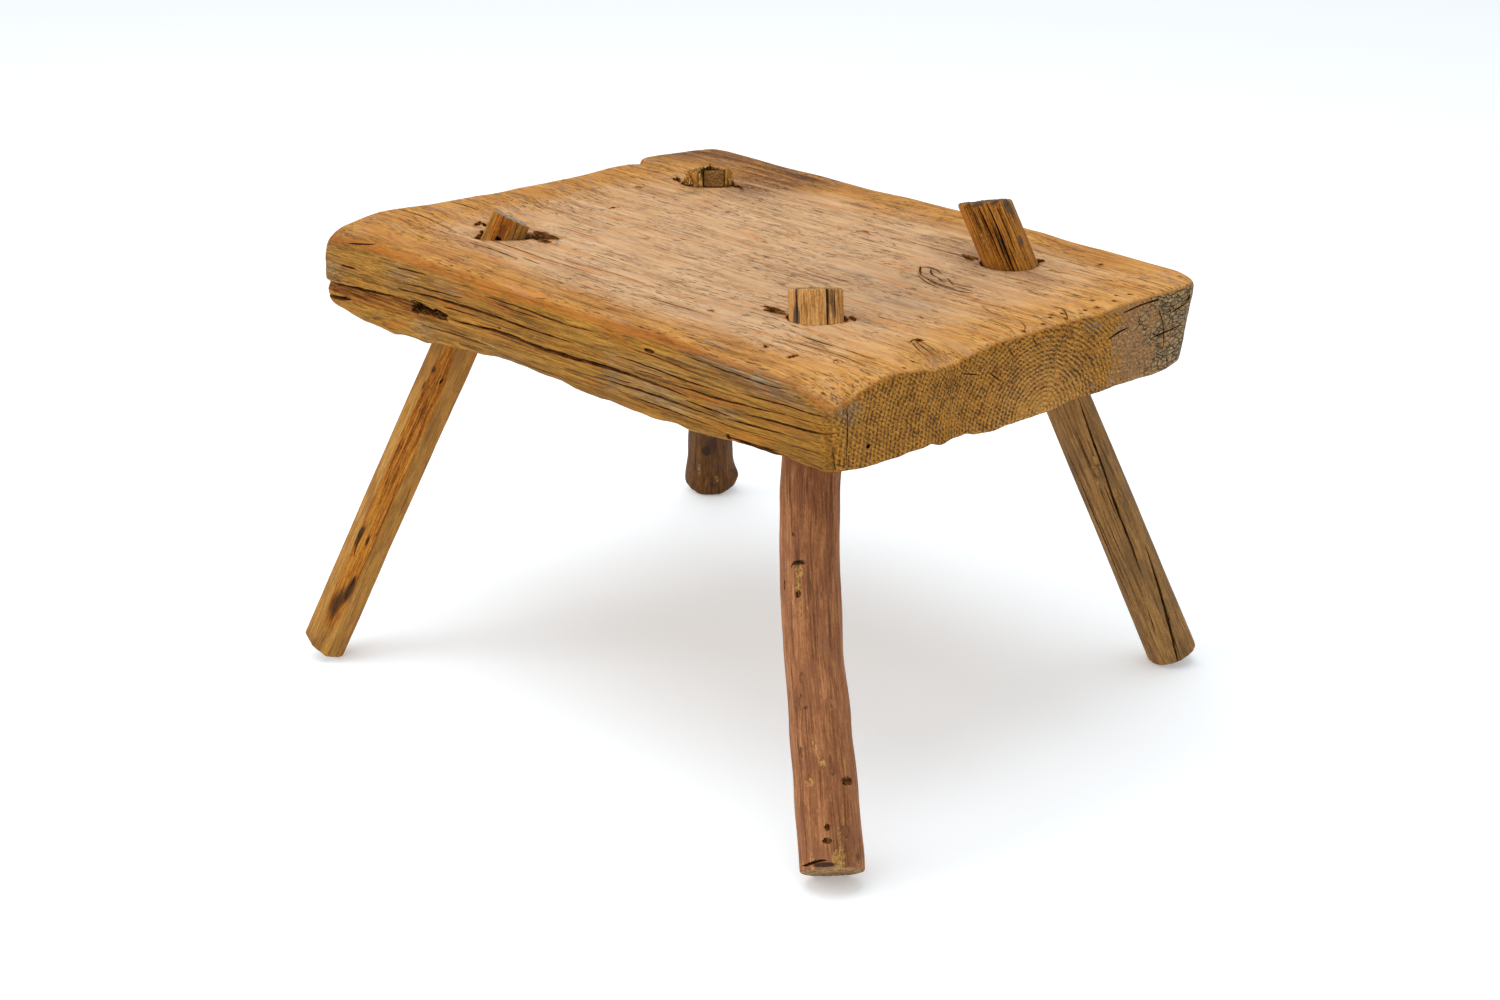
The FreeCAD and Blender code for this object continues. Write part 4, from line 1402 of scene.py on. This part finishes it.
def leg_material(name, dark, mid, pale, ends, fine=1.0, blotch=None, strip=None, spread=0.12):
    """Wood of one leg: fibres along it, darker lines, knots and worn patches."""
    s = Shader(name)
    grain = s.attribute("grain", vector=True)
    fibre = s.noise(grain, (0.05, fine, fine), 5.0, 0.68, 0.25)
    band = s.noise(grain, (0.016, 0.24, 0.24), 4.0, 0.6, 0.4, offset=(4, 2, 9))
    cloud = s.noise(grain, (0.04, 0.09, 0.09), 4.0, 0.65, offset=(1, 5, 2))
    speckle = s.noise(grain, (0.5, 0.9, 0.9), 4.0, 0.75, offset=(6, 3, 1))
    tone = s.total((fibre, 0.45), (band, 0.3), (speckle, 0.25))
    colour = shades(s, tone, dark, mid, pale, spread=spread)
    if blotch:
        colour = s.tint(colour, s.rise(cloud, 0.46, 0.62), 0.55, linear(*blotch))
    lines = s.streaks(grain, 0.025, 0.75 * fine, (7, 7, 7), 0.56, 0.67)
    colour = s.tint(colour, lines, 0.5, tuple(c * 0.6 for c in linear(*dark)))
    if strip:
        raw = shades(s, s.total((fibre, 0.5), (speckle, 0.2), (band, 0.3)), *strip, spread=0.08)
        edge = s.total((s.attribute("strip"), 1.0), (band, 0.5), (speckle, 0.4))
        colour = s.mix(s.rise(edge, 0.88, 1.02), colour, raw)
    end_grain = s.noise(grain, (0.2, 0.5, 0.5), 4.0, 0.7, offset=(2, 2, 2))
    dull_ends = tuple(c * 0.62 for c in ends)
    colour = s.mix(s.attribute("end"), colour, shades(s, end_grain, dull_ends, ends, spread=0.08))
    chips = shades(s, speckle, (140, 88, 40), (196, 146, 76), (224, 178, 108), spread=0.08)
    # Grey, pale and dark marks from the mesh; on the wedge the dark mark is painted shade
    for mask, share, low, tint in (
        ("grey", 0.8, 0.52, linear(92, 82, 68)), ("pale", 0.75, 0.60, chips),
        ("dark", 0.9, 0.56, linear(48, 30, 20)),
    ):
        amount = s.total((s.attribute(mask), 1.0), (speckle, 0.35), (fibre, 0.25))
        amount = s.math("MULTIPLY", s.rise(amount, low, low + 0.22), s.rise(s.attribute(mask), 0.02, 0.2))
        colour = s.tint(colour, amount, share, tint)
    height = s.total((fibre, 0.8), (speckle, 0.3), (lines, -0.35))
    rough = s.math("ADD", 0.52, s.math("MULTIPLY", tone, 0.3))
    return s.finish(colour, rough, height, 0.0015, 0.9)


def leg_masks(obj, name, pale=(), dark=(), grey=(), strip=()):
    """Grain coordinates on a leg, and its marked places: (angle, down, across, length, strength)."""
    along, turn, a, b = leg_places(obj, name)
    set_attribute(obj, "grain", np.stack([along, a, b], -1))
    down = leg_frame(LEGS[name])[1]
    facing = np.abs(mesh_normals(obj) @ down)
    set_attribute(obj, "end", smooth(0.6, 0.85, facing))
    radius = np.hypot(a, b)
    # The depth in from the leg's skin, which darkens torn wood as painted shade
    set_attribute(obj, "deep", np.clip((14.5 - radius) / 7, 0, 1))
    for label, places in (("pale", pale), ("dark", dark), ("grey", grey), ("strip", strip)):
        total = np.zeros(len(along))
        for centre_turn, centre_along, across, length, strength in places:
            total += strength * on_leg(turn, along, centre_turn, centre_along, across, length)
        set_attribute(obj, label, np.clip(total, 0, 1))


# ---------------------------------------------------------------- build


def build_front_leg():
    """The dark leg nearest to the viewer, with its bark and knots."""
    wood = leg_material(
        "leg_front_wood", (114, 68, 40), (170, 110, 68), (206, 148, 98), (196, 150, 96), 1.0, (138, 86, 58),
        strip=((140, 88, 40), (208, 150, 82), (238, 188, 122)),
    )
    torn = torn_material("leg_front_torn", (44, 26, 16), (110, 68, 36), (190, 136, 74))
    name = "leg_front"
    cracks = leg_cracks(name, (
        (((-21, -24), (-23, -12), (-19, 0), (-21, 12)), 1.9, 8),
        (((46, -24), (48, -8), (47, 4)), 0.5, 3),
        (((-40, -22), (-38, -10), (-41, 2)), 0.6, 3),
        (((-33, -22), (-32, -14)), 0.7, 3),
        (((44, 141), (34, 137), (20, 137), (11, 140)), 1.0, 2.5),
        (((72, 299), (50, 299), (30, 296), (11, 297)), 1.6, 4),
        (((-44, 254), (-34, 255), (-26, 257)), 1.8, 3),
    ), 401)
    pits = leg_gouges(name, (
        (28, 155, (2.2, 1.6, 1.8)), (7, 279.6, (2.0, 1.6, 1.8)), (10, 286.6, (1.6, 2.6, 1.8)),
        (-37, 255.5, (2.4, 3.6, 1.8)), (36, 122.4, (1.3, 1.0, 1.2)), (63, 149.4, (4.0, 1.0, 1.0)),
    ), 411)
    dents = leg_gouges(name, [(turn, along, (size * 1.6, size, 0.7)) for turn, along, size in (
        (24, 144, 2.6), (26, 151, 2.0), (35, 213, 3.0), (20, 228, 3.0), (7, 246, 2.4), (35, 255, 2.6),
        (18, 236, 2.2), (-10, 250, 2.0), (52, 270, 3.0), (-16, 214, 2.0), (0, 262, 2.4),
        (-25, 282, 2.4), (-46, 293, 4.0), (-55, 288, 3.0), (30, 200, 2.0), (44, 240, 2.2),
    )], 420, 0.4)
    cuts = [(0, dents), (1, cracks + pits)]
    obj = build_leg(name, front_skin, (1.4, 1.6), rough_end(31, 0.6), [wood, torn], cuts)
    leg_masks(
        obj, name,
        pale=(
            (25, 143, 2.6, 3.6, 1.0), (28, 151.5, 1.6, 3.0, 1.0), (24, 163, 0.8, 9, 0.6),
            (11, 164, 0.8, 4, 0.5), (35, 255.6, 2.6, 2.4, 0.9), (-6, 297, 3.0, 5, 1.0),
            (42, 297, 1.2, 5, 0.9), (7, 246, 3.0, 4, 0.5), (18, 236, 2.6, 7, 0.45),
            (-14, 285, 3.4, 12, 0.42), (-40, 296, 4.0, 4, 0.4), (66, 110, 2, 30, 0.25),
        ),
        strip=((0, -14, 90, 22, 1.3),),
        dark=(
            (25, 138, 5.0, 1.6, 0.7), (-37, 255, 4.5, 2.2, 0.7), (48, -6, 2.0, 30, 0.5),
            (-31, -10, 4.0, 14, 0.42), (0, 76, 40, 26, 0.36), (20, 299, 8.0, 1.6, 0.7),
            (66, 214, 1.4, 30, 0.3), (30, 216, 3, 2, 0.45), (-52, 295, 5, 5, 0.4),
        ),
        grey=((50, 0, 3.4, 8, 0.7), (-16, 156, 0.8, 4, 0.5), (-38, -4, 3, 10, 0.4)),
    )
    settle(obj, name)
    return obj


def build_right_leg():
    """The leg at the right, with its long proud tenon."""
    wood = leg_material(
        "leg_right_wood", (100, 66, 34), (162, 117, 64), (198, 152, 92), (150, 112, 70), 1.3, (122, 94, 60),
        strip=((92, 56, 14), (186, 120, 38), (224, 160, 78)),
    )
    torn = torn_material("leg_right_torn", (40, 26, 14), (96, 64, 34), (160, 112, 58))
    name = "leg_right"
    paths = (
        (((66, 88), (75, 120), (78, 139), (86, 168), (86, 193), (91, 215)), 1.5, 6),
        (((52, 200), (57, 212), (64, 231), (75, 253), (85, 270), (95, 288)), 1.7, 6),
        (((154, 118), (150, 144), (148, 180), (152, 214), (146, 240)), 1.3, 4),
        (((143, 150), (141, 186), (139, 220)), 0.6, 3),
        (((93, 150), (92, 176)), 0.6, 3),
        (((109, 240), (116, 262)), 0.7, 3),
        (((77, 258), (84, 284)), 0.6, 3),
        (((120, 170), (118, 206)), 0.5, 2.5),
        (((60, 120), (62, 156)), 0.5, 2.5),
        (((104, 110), (106, 140)), 0.5, 2.5),
        (((92, -46), (90, -30), (93, -12), (94, 6)), 1.2, 5),
        (((112, -48), (110, -26), (109, -6)), 0.9, 4),
        (((126, -46), (125, -30)), 0.6, 3),
        (((74, -44), (72, -24), (75, -8)), 0.8, 3.5),
        (((100, -30), (101, -10), (99, 4)), 0.7, 3),
        (((60, -40), (58, -20)), 0.6, 3),
        (((82, -22), (84, 2)), 0.6, 3),
    )
    cracks = leg_cracks(name, paths, 440)
    pits = leg_gouges(name, ((75, 253, (2.0, 1.2, 2.0)),), 470)
    dents = leg_gouges(name, [(turn, along, (4.0, size, 0.8)) for turn, along, size in (
        (46, -40, 3.0), (70, -42, 3.0), (110, -47, 3.0), (134, -46, 3.0), (90, 134, 3.0),
        (98, 142, 2.4),
    )], 480, 0.4)
    cuts = [(0, dents), (1, cracks + pits)]
    obj = build_leg(name, right_skin, (2.0, 2.0), rough_end(33, 0.7), [wood, torn], cuts, 0.5)
    leg_masks(
        obj, name,
        pale=((100, 138, 3.0, 8, 0.4), (74, 180, 2.4, 60, 0.32), (130, 80, 3, 30, 0.2),
              (104, 150, 2.6, 5, 0.4), (130, -24, 5, 16, 0.42), (62, -6, 5, 12, 0.4),
              (85, -30, 3, 10, 0.35)),
        dark=((100, -42, 1, 10, 0.3), (84, -30, 0.7, 20, 0.3), (104, -20, 0.7, 16, 0.3),
              (120, 74, 20, 12, 0.3), (150, 180, 1.6, 60, 0.4)),
        strip=((80, -36, 90, 44, 1.3),),
        grey=((46, -37, 3.4, 4, 0.7), (72, -43, 5, 2, 0.55), (110, -46, 7, 2, 0.5),
              (94, -19, 3, 3, 0.55), (50, -14, 3, 4, 0.6), (36, -30, 4, 8, 0.4), (140, 120, 4, 30, 0.3),
              (60, 260, 4, 14, 0.3)),
    )
    settle(obj, name)
    return obj


def split_block(levels, near, far):
    """A tapering block in the back tenon's split, from pairs of depth and width."""
    leg = LEGS["leg_back"]
    start, down = leg_frame(leg)[:2]
    across = unit(ASIDE - down * (ASIDE @ down))
    away = np.cross(down, across)
    away = away * np.sign(away @ AWAY)
    top = start - down * leg["stub"] + across * SPLIT_OFFSET
    rings = []
    for depth, width in levels:
        middle = top + down * depth
        ring = [
            middle + across * (width / 2) * i + away * j
            for i, j in ((-1, -near), (1, -near), (1, far), (-1, far))
        ]
        rings.append(ring)
    return np.array(rings)


def split_width(depth):
    """How wide the split is at a depth below the tenon's end."""
    return SPLIT_TOP_WIDTH + (SPLIT_FOOT_WIDTH - SPLIT_TOP_WIDTH) * depth / SPLIT_DEPTH


def build_back_leg():
    """The leg behind, with its split tenon."""
    wood = leg_material(
        "leg_back_wood", (60, 34, 8), (98, 60, 20), (136, 90, 38), (150, 104, 50), 1.0, (84, 54, 32),
        strip=((176, 124, 48), (240, 186, 96), (255, 224, 150)),
    )
    torn = torn_material("leg_back_torn", (84, 50, 18), (214, 156, 72), (248, 204, 124))
    name = "leg_back"
    split = split_block([(-40.0, split_width(-40.0)), (SPLIT_DEPTH, SPLIT_FOOT_WIDTH)], *SPLIT_REACH)
    shards = leg_cracks(name, [
        (((turn, -34), (turn + 3, -16), (turn - 2, 2)), width, depth) for turn, width, depth in (
            (-104, 1.4, 6), (-122, 1.8, 7), (-138, 1.2, 6), (-152, 1.4, 6), (112, 1.2, 6),
            (128, 1.4, 5), (-88, 1.0, 5), (96, 1.2, 5), (-60, 1.0, 5), (60, 1.2, 5), (20, 1.0, 5),
            (-20, 1.0, 5),
        )
    ], 610)
    bites = leg_gouges(name, (
        (-112, -18, (5, 3.4, 3.0)), (-128, -22, (4, 3.0, 3.4)), (-98, -10, (3, 3.0, 2.6)),
        (-146, -26, (5, 3.0, 3.0)), (118, -20, (5, 3.6, 4.0)), (104, -10, (4, 3.0, 3.0)),
        (134, -24, (5, 3.0, 4.0)), (-120, -6, (3, 4.0, 2.4)), (90, -16, (5, 3.0, 3.0)),
    ), 630, 0.4)
    cuts = [(1, [capped_tube(split)]), (0, bites), (1, shards)]
    obj = build_leg(name, back_skin, (1.0, 2.0), rough_end(35, 2.8, 2.6), [wood, torn], cuts, 4.2)
    leg_masks(
        obj, name,
        pale=((-150, 262, 3, 14, 0.4), (165, 272, 3, 8, 0.4), (-112, 246, 2.4, 20, 0.35),
              (-128, -20, 3, 4, 0.4)),
        dark=((178, 236, 7, 20, 0.4), (-165, 243, 3, 4, 0.5), (120, -8, 5, 5, 0.3)),
        strip=((180, -22, 90, 20, 1.3),),
    )
    settle(obj, name)
    return obj


def build_left_leg():
    """The leg at the left, with its torn tenon."""
    wood = leg_material(
        "leg_left_wood", (142, 92, 38), (190, 134, 60), (212, 162, 88), (198, 178, 148), 1.3, (146, 98, 48),
        strip=((104, 52, 10), (180, 106, 28), (212, 146, 54)), spread=0.16,
    )
    torn = torn_material("leg_left_torn", (54, 32, 14), (118, 76, 36), (180, 130, 66))
    name = "leg_left"
    paths = (
        (((-81, 92), (-76, 97)), 2.2, 4), (((-66, 106), (-72, 124)), 0.9, 2.5),
        (((-40, 130), (-36, 140)), 0.8, 2), (((-70, 204), (-74, 214)), 1.0, 2.5),
        (((-39, 203), (-48, 214), (-54, 222)), 1.8, 3), (((-76, 230), (-82, 246)), 1.6, 3),
        (((-60, 236), (-66, 250)), 1.0, 2.5), (((-50, 246), (-56, 262)), 0.8, 2),
        (((-70, 150), (-72, 170)), 0.7, 2), (((-58, 190), (-62, 204)), 0.7, 2),
        (((-62, 256), (-74, 270)), 1.0, 2.5), (((-84, 128), (-86, 142)), 0.7, 2),
        (((-52, 158), (-54, 176)), 0.6, 2), (((-94, -16), (-104, 2)), 0.8, 4),
    )
    cracks = leg_cracks(name, paths, 650)
    holes = leg_gouges(name, ((-66, 2, (4.0, 2.4, 4)), (-30, -16, (3, 1.2, 2.5))), 680)
    scars = [(-66 + 14 * math.sin(1.7 * i), 96 + 11.5 * i, (5, 2.6, 0.8)) for i in range(16)]
    dents = leg_gouges(name, scars, 690, 0.45)
    cuts = [(0, dents), (1, cracks + holes)]
    obj = build_leg(name, left_skin, (0.8, 1.4), rough_end(37, 0.5), [wood, torn], cuts)
    heart = [(-66, along, 7.2, 24, 0.62) for along in range(86, 276, 19)]
    leg_masks(
        obj, name,
        pale=((-30, 258, 2, 10, 0.4), (-50, 262, 1.2, 4, 0.5), (-48, -4, 1.2, 12, 0.3),
              (-4, -6, 4, 14, 0.4), (-106, -4, 3, 12, 0.6)),
        dark=((-49, 90, 3, 4, 0.45), (-40, 102, 1.6, 6, 0.5), (-45, 208, 2.0, 8, 0.7),
              (-66, 120, 1.0, 14, 0.4), (-70, 170, 1.0, 16, 0.4), (-71, 208, 1.6, 5, 0.5),
              (-81, 240, 2.2, 10, 0.55), (-62, 254, 6, 20, 0.48), (-58, 196, 4, 12, 0.3),
              (-76, -11, 1.8, 6, 0.36), (-24, -17, 2, 2, 0.6), (-100, 3, 3, 4, 0.3),
              (-66, 66, 16, 16, 0.3)),
        grey=((-150, -8, 6, 10, 0.4), (-76, 92, 3, 3, 0.3)),
        strip=heart + [(-52, -8, 13, 18, 0.9)],
    )
    settle(obj, name)
    return obj


def build_wedge():
    """The wedge in the back leg's split."""
    grip_width = split_width(WEDGE_GRIP_DEPTH) - WEDGE_EASE
    levels = [(WEDGE_SUNK, WEDGE_TOP_WIDTH), (WEDGE_GRIP_DEPTH, grip_width), WEDGE_TIP]
    corners = split_block(levels, *WEDGE_REACH)
    depths = np.concatenate([np.linspace(0.22, 1, 14), np.linspace(1, 2, 12)[1:]])
    ring_share = np.linspace(0, 4, 80, endpoint=False)
    rings = []
    for depth in depths:
        level = min(int(depth), 1)
        ring = corners[level] + (corners[level + 1] - corners[level]) * (depth - level)
        side = ring_share.astype(int)
        edge = ring[side] + (ring[(side + 1) % 4] - ring[side]) * (ring_share - side)[:, None]
        middle = ring.mean(0)
        near_corner = np.abs(ring_share - side - 0.5) * 2
        rough = noise(edge / np.array([1.6, 1.6, 6.0]), 51)
        rings.append(middle + (edge - middle) * (1 - 0.05 * near_corner**6 + 0.035 * rough - 0.03)[:, None])
    caps = []
    slope = unit(UP + AWAY * LEGS["leg_back"]["top_slope"][1])
    for share in np.linspace(1, 0, 12)[1:-1]:
        flat = rings[0].mean(0) + (rings[0] - rings[0].mean(0)) * share
        lift = 2.2 * (1 - share**3) + 0.9 * noise(flat / 2.2, 57) * (1 - share)
        caps.append(flat + slope * lift[:, None])
    points, faces = capped_tube(np.array(caps[::-1] + rings))
    wood = leg_material(
        "wedge_wood", (84, 52, 20), (150, 104, 50), (192, 146, 80), (156, 106, 46), 1.4, (96, 62, 26),
    )
    obj = make_mesh("wedge", points, faces, [wood])
    # A darker patch low on the wedge's near face: painted shade
    leg_masks(obj, "leg_back", dark=((180, 4, 30, 6, 0.35),))
    settle(obj, "tenon_wedge")
    return obj


def build_floor():
    """A pale floor with a faint glow of its own."""
    mesh = bpy.data.meshes.new("floor")
    corners = [(x * FLOOR_REACH, y * FLOOR_REACH, 0) for x, y in ((-1, -1), (1, -1), (1, 1), (-1, 1))]
    mesh.from_pydata(corners, [], [(0, 1, 2, 3)])
    floor = bpy.data.objects.new("floor", mesh)
    bpy.context.scene.collection.objects.link(floor)
    s = Shader("floor")
    for socket, value in (
        ("Base Color", FLOOR_SHADE), ("Emission Color", (1, 1, 1)), ("Emission Strength", FLOOR_GLOW),
        ("Roughness", 0.9), ("Specular IOR Level", 0.1),
    ):
        s.put(s.surface.inputs[socket], value)
    mesh.materials.append(s.material)


def build_light():
    """An even white sky and soft studio lamps."""
    world = bpy.data.worlds.new("studio")
    bpy.context.scene.world = world
    world.use_nodes = True
    sky = world.node_tree.nodes["Background"]
    sky.inputs["Color"].default_value = (1, 1, 1, 1)
    sky.inputs["Strength"].default_value = SKY
    for name, place, size, power in LAMPS:
        light = bpy.data.lights.new(name, "AREA")
        light.shape = "DISK"
        light.size = size
        light.energy = power
        lamp = bpy.data.objects.new(name, light)
        lamp.location = place
        lamp.rotation_euler = (LAMP_AIM - Vector(place)).to_track_quat("-Z", "Y").to_euler()
        bpy.context.scene.collection.objects.link(lamp)
    bpy.context.scene.view_settings.view_transform = "Standard"
    bpy.context.scene.view_settings.look = "None"


def build_camera():
    """The camera, which looks at the stool from the photo's viewpoint."""
    azimuth, pitch = math.radians(CAMERA_AZIMUTH), math.radians(CAMERA_PITCH)
    forward = Vector((
        -math.sin(azimuth) * math.cos(pitch),
        math.cos(azimuth) * math.cos(pitch),
        -math.sin(pitch),
    ))
    data = bpy.data.cameras.new("camera")
    data.sensor_width = CAMERA_SENSOR
    data.lens = CAMERA_LENS
    camera = bpy.data.objects.new("camera", data)
    camera.location = (CAMERA_PLACE + SHIFT) / 1000
    camera.rotation_mode = "QUATERNION"
    camera.rotation_quaternion = forward.to_track_quat("-Z", "Y")
    camera.rotation_quaternion.rotate(Quaternion(forward, math.radians(CAMERA_ROLL)))
    bpy.context.scene.collection.objects.link(camera)
    bpy.context.scene.camera = camera


build_seat([seat_material(), torn_material("seat_torn", (70, 40, 16), (142, 92, 44), (198, 142, 78))])
build_front_leg()
build_right_leg()
build_back_leg()
build_left_leg()
build_wedge()
build_floor()
build_light()
build_camera()
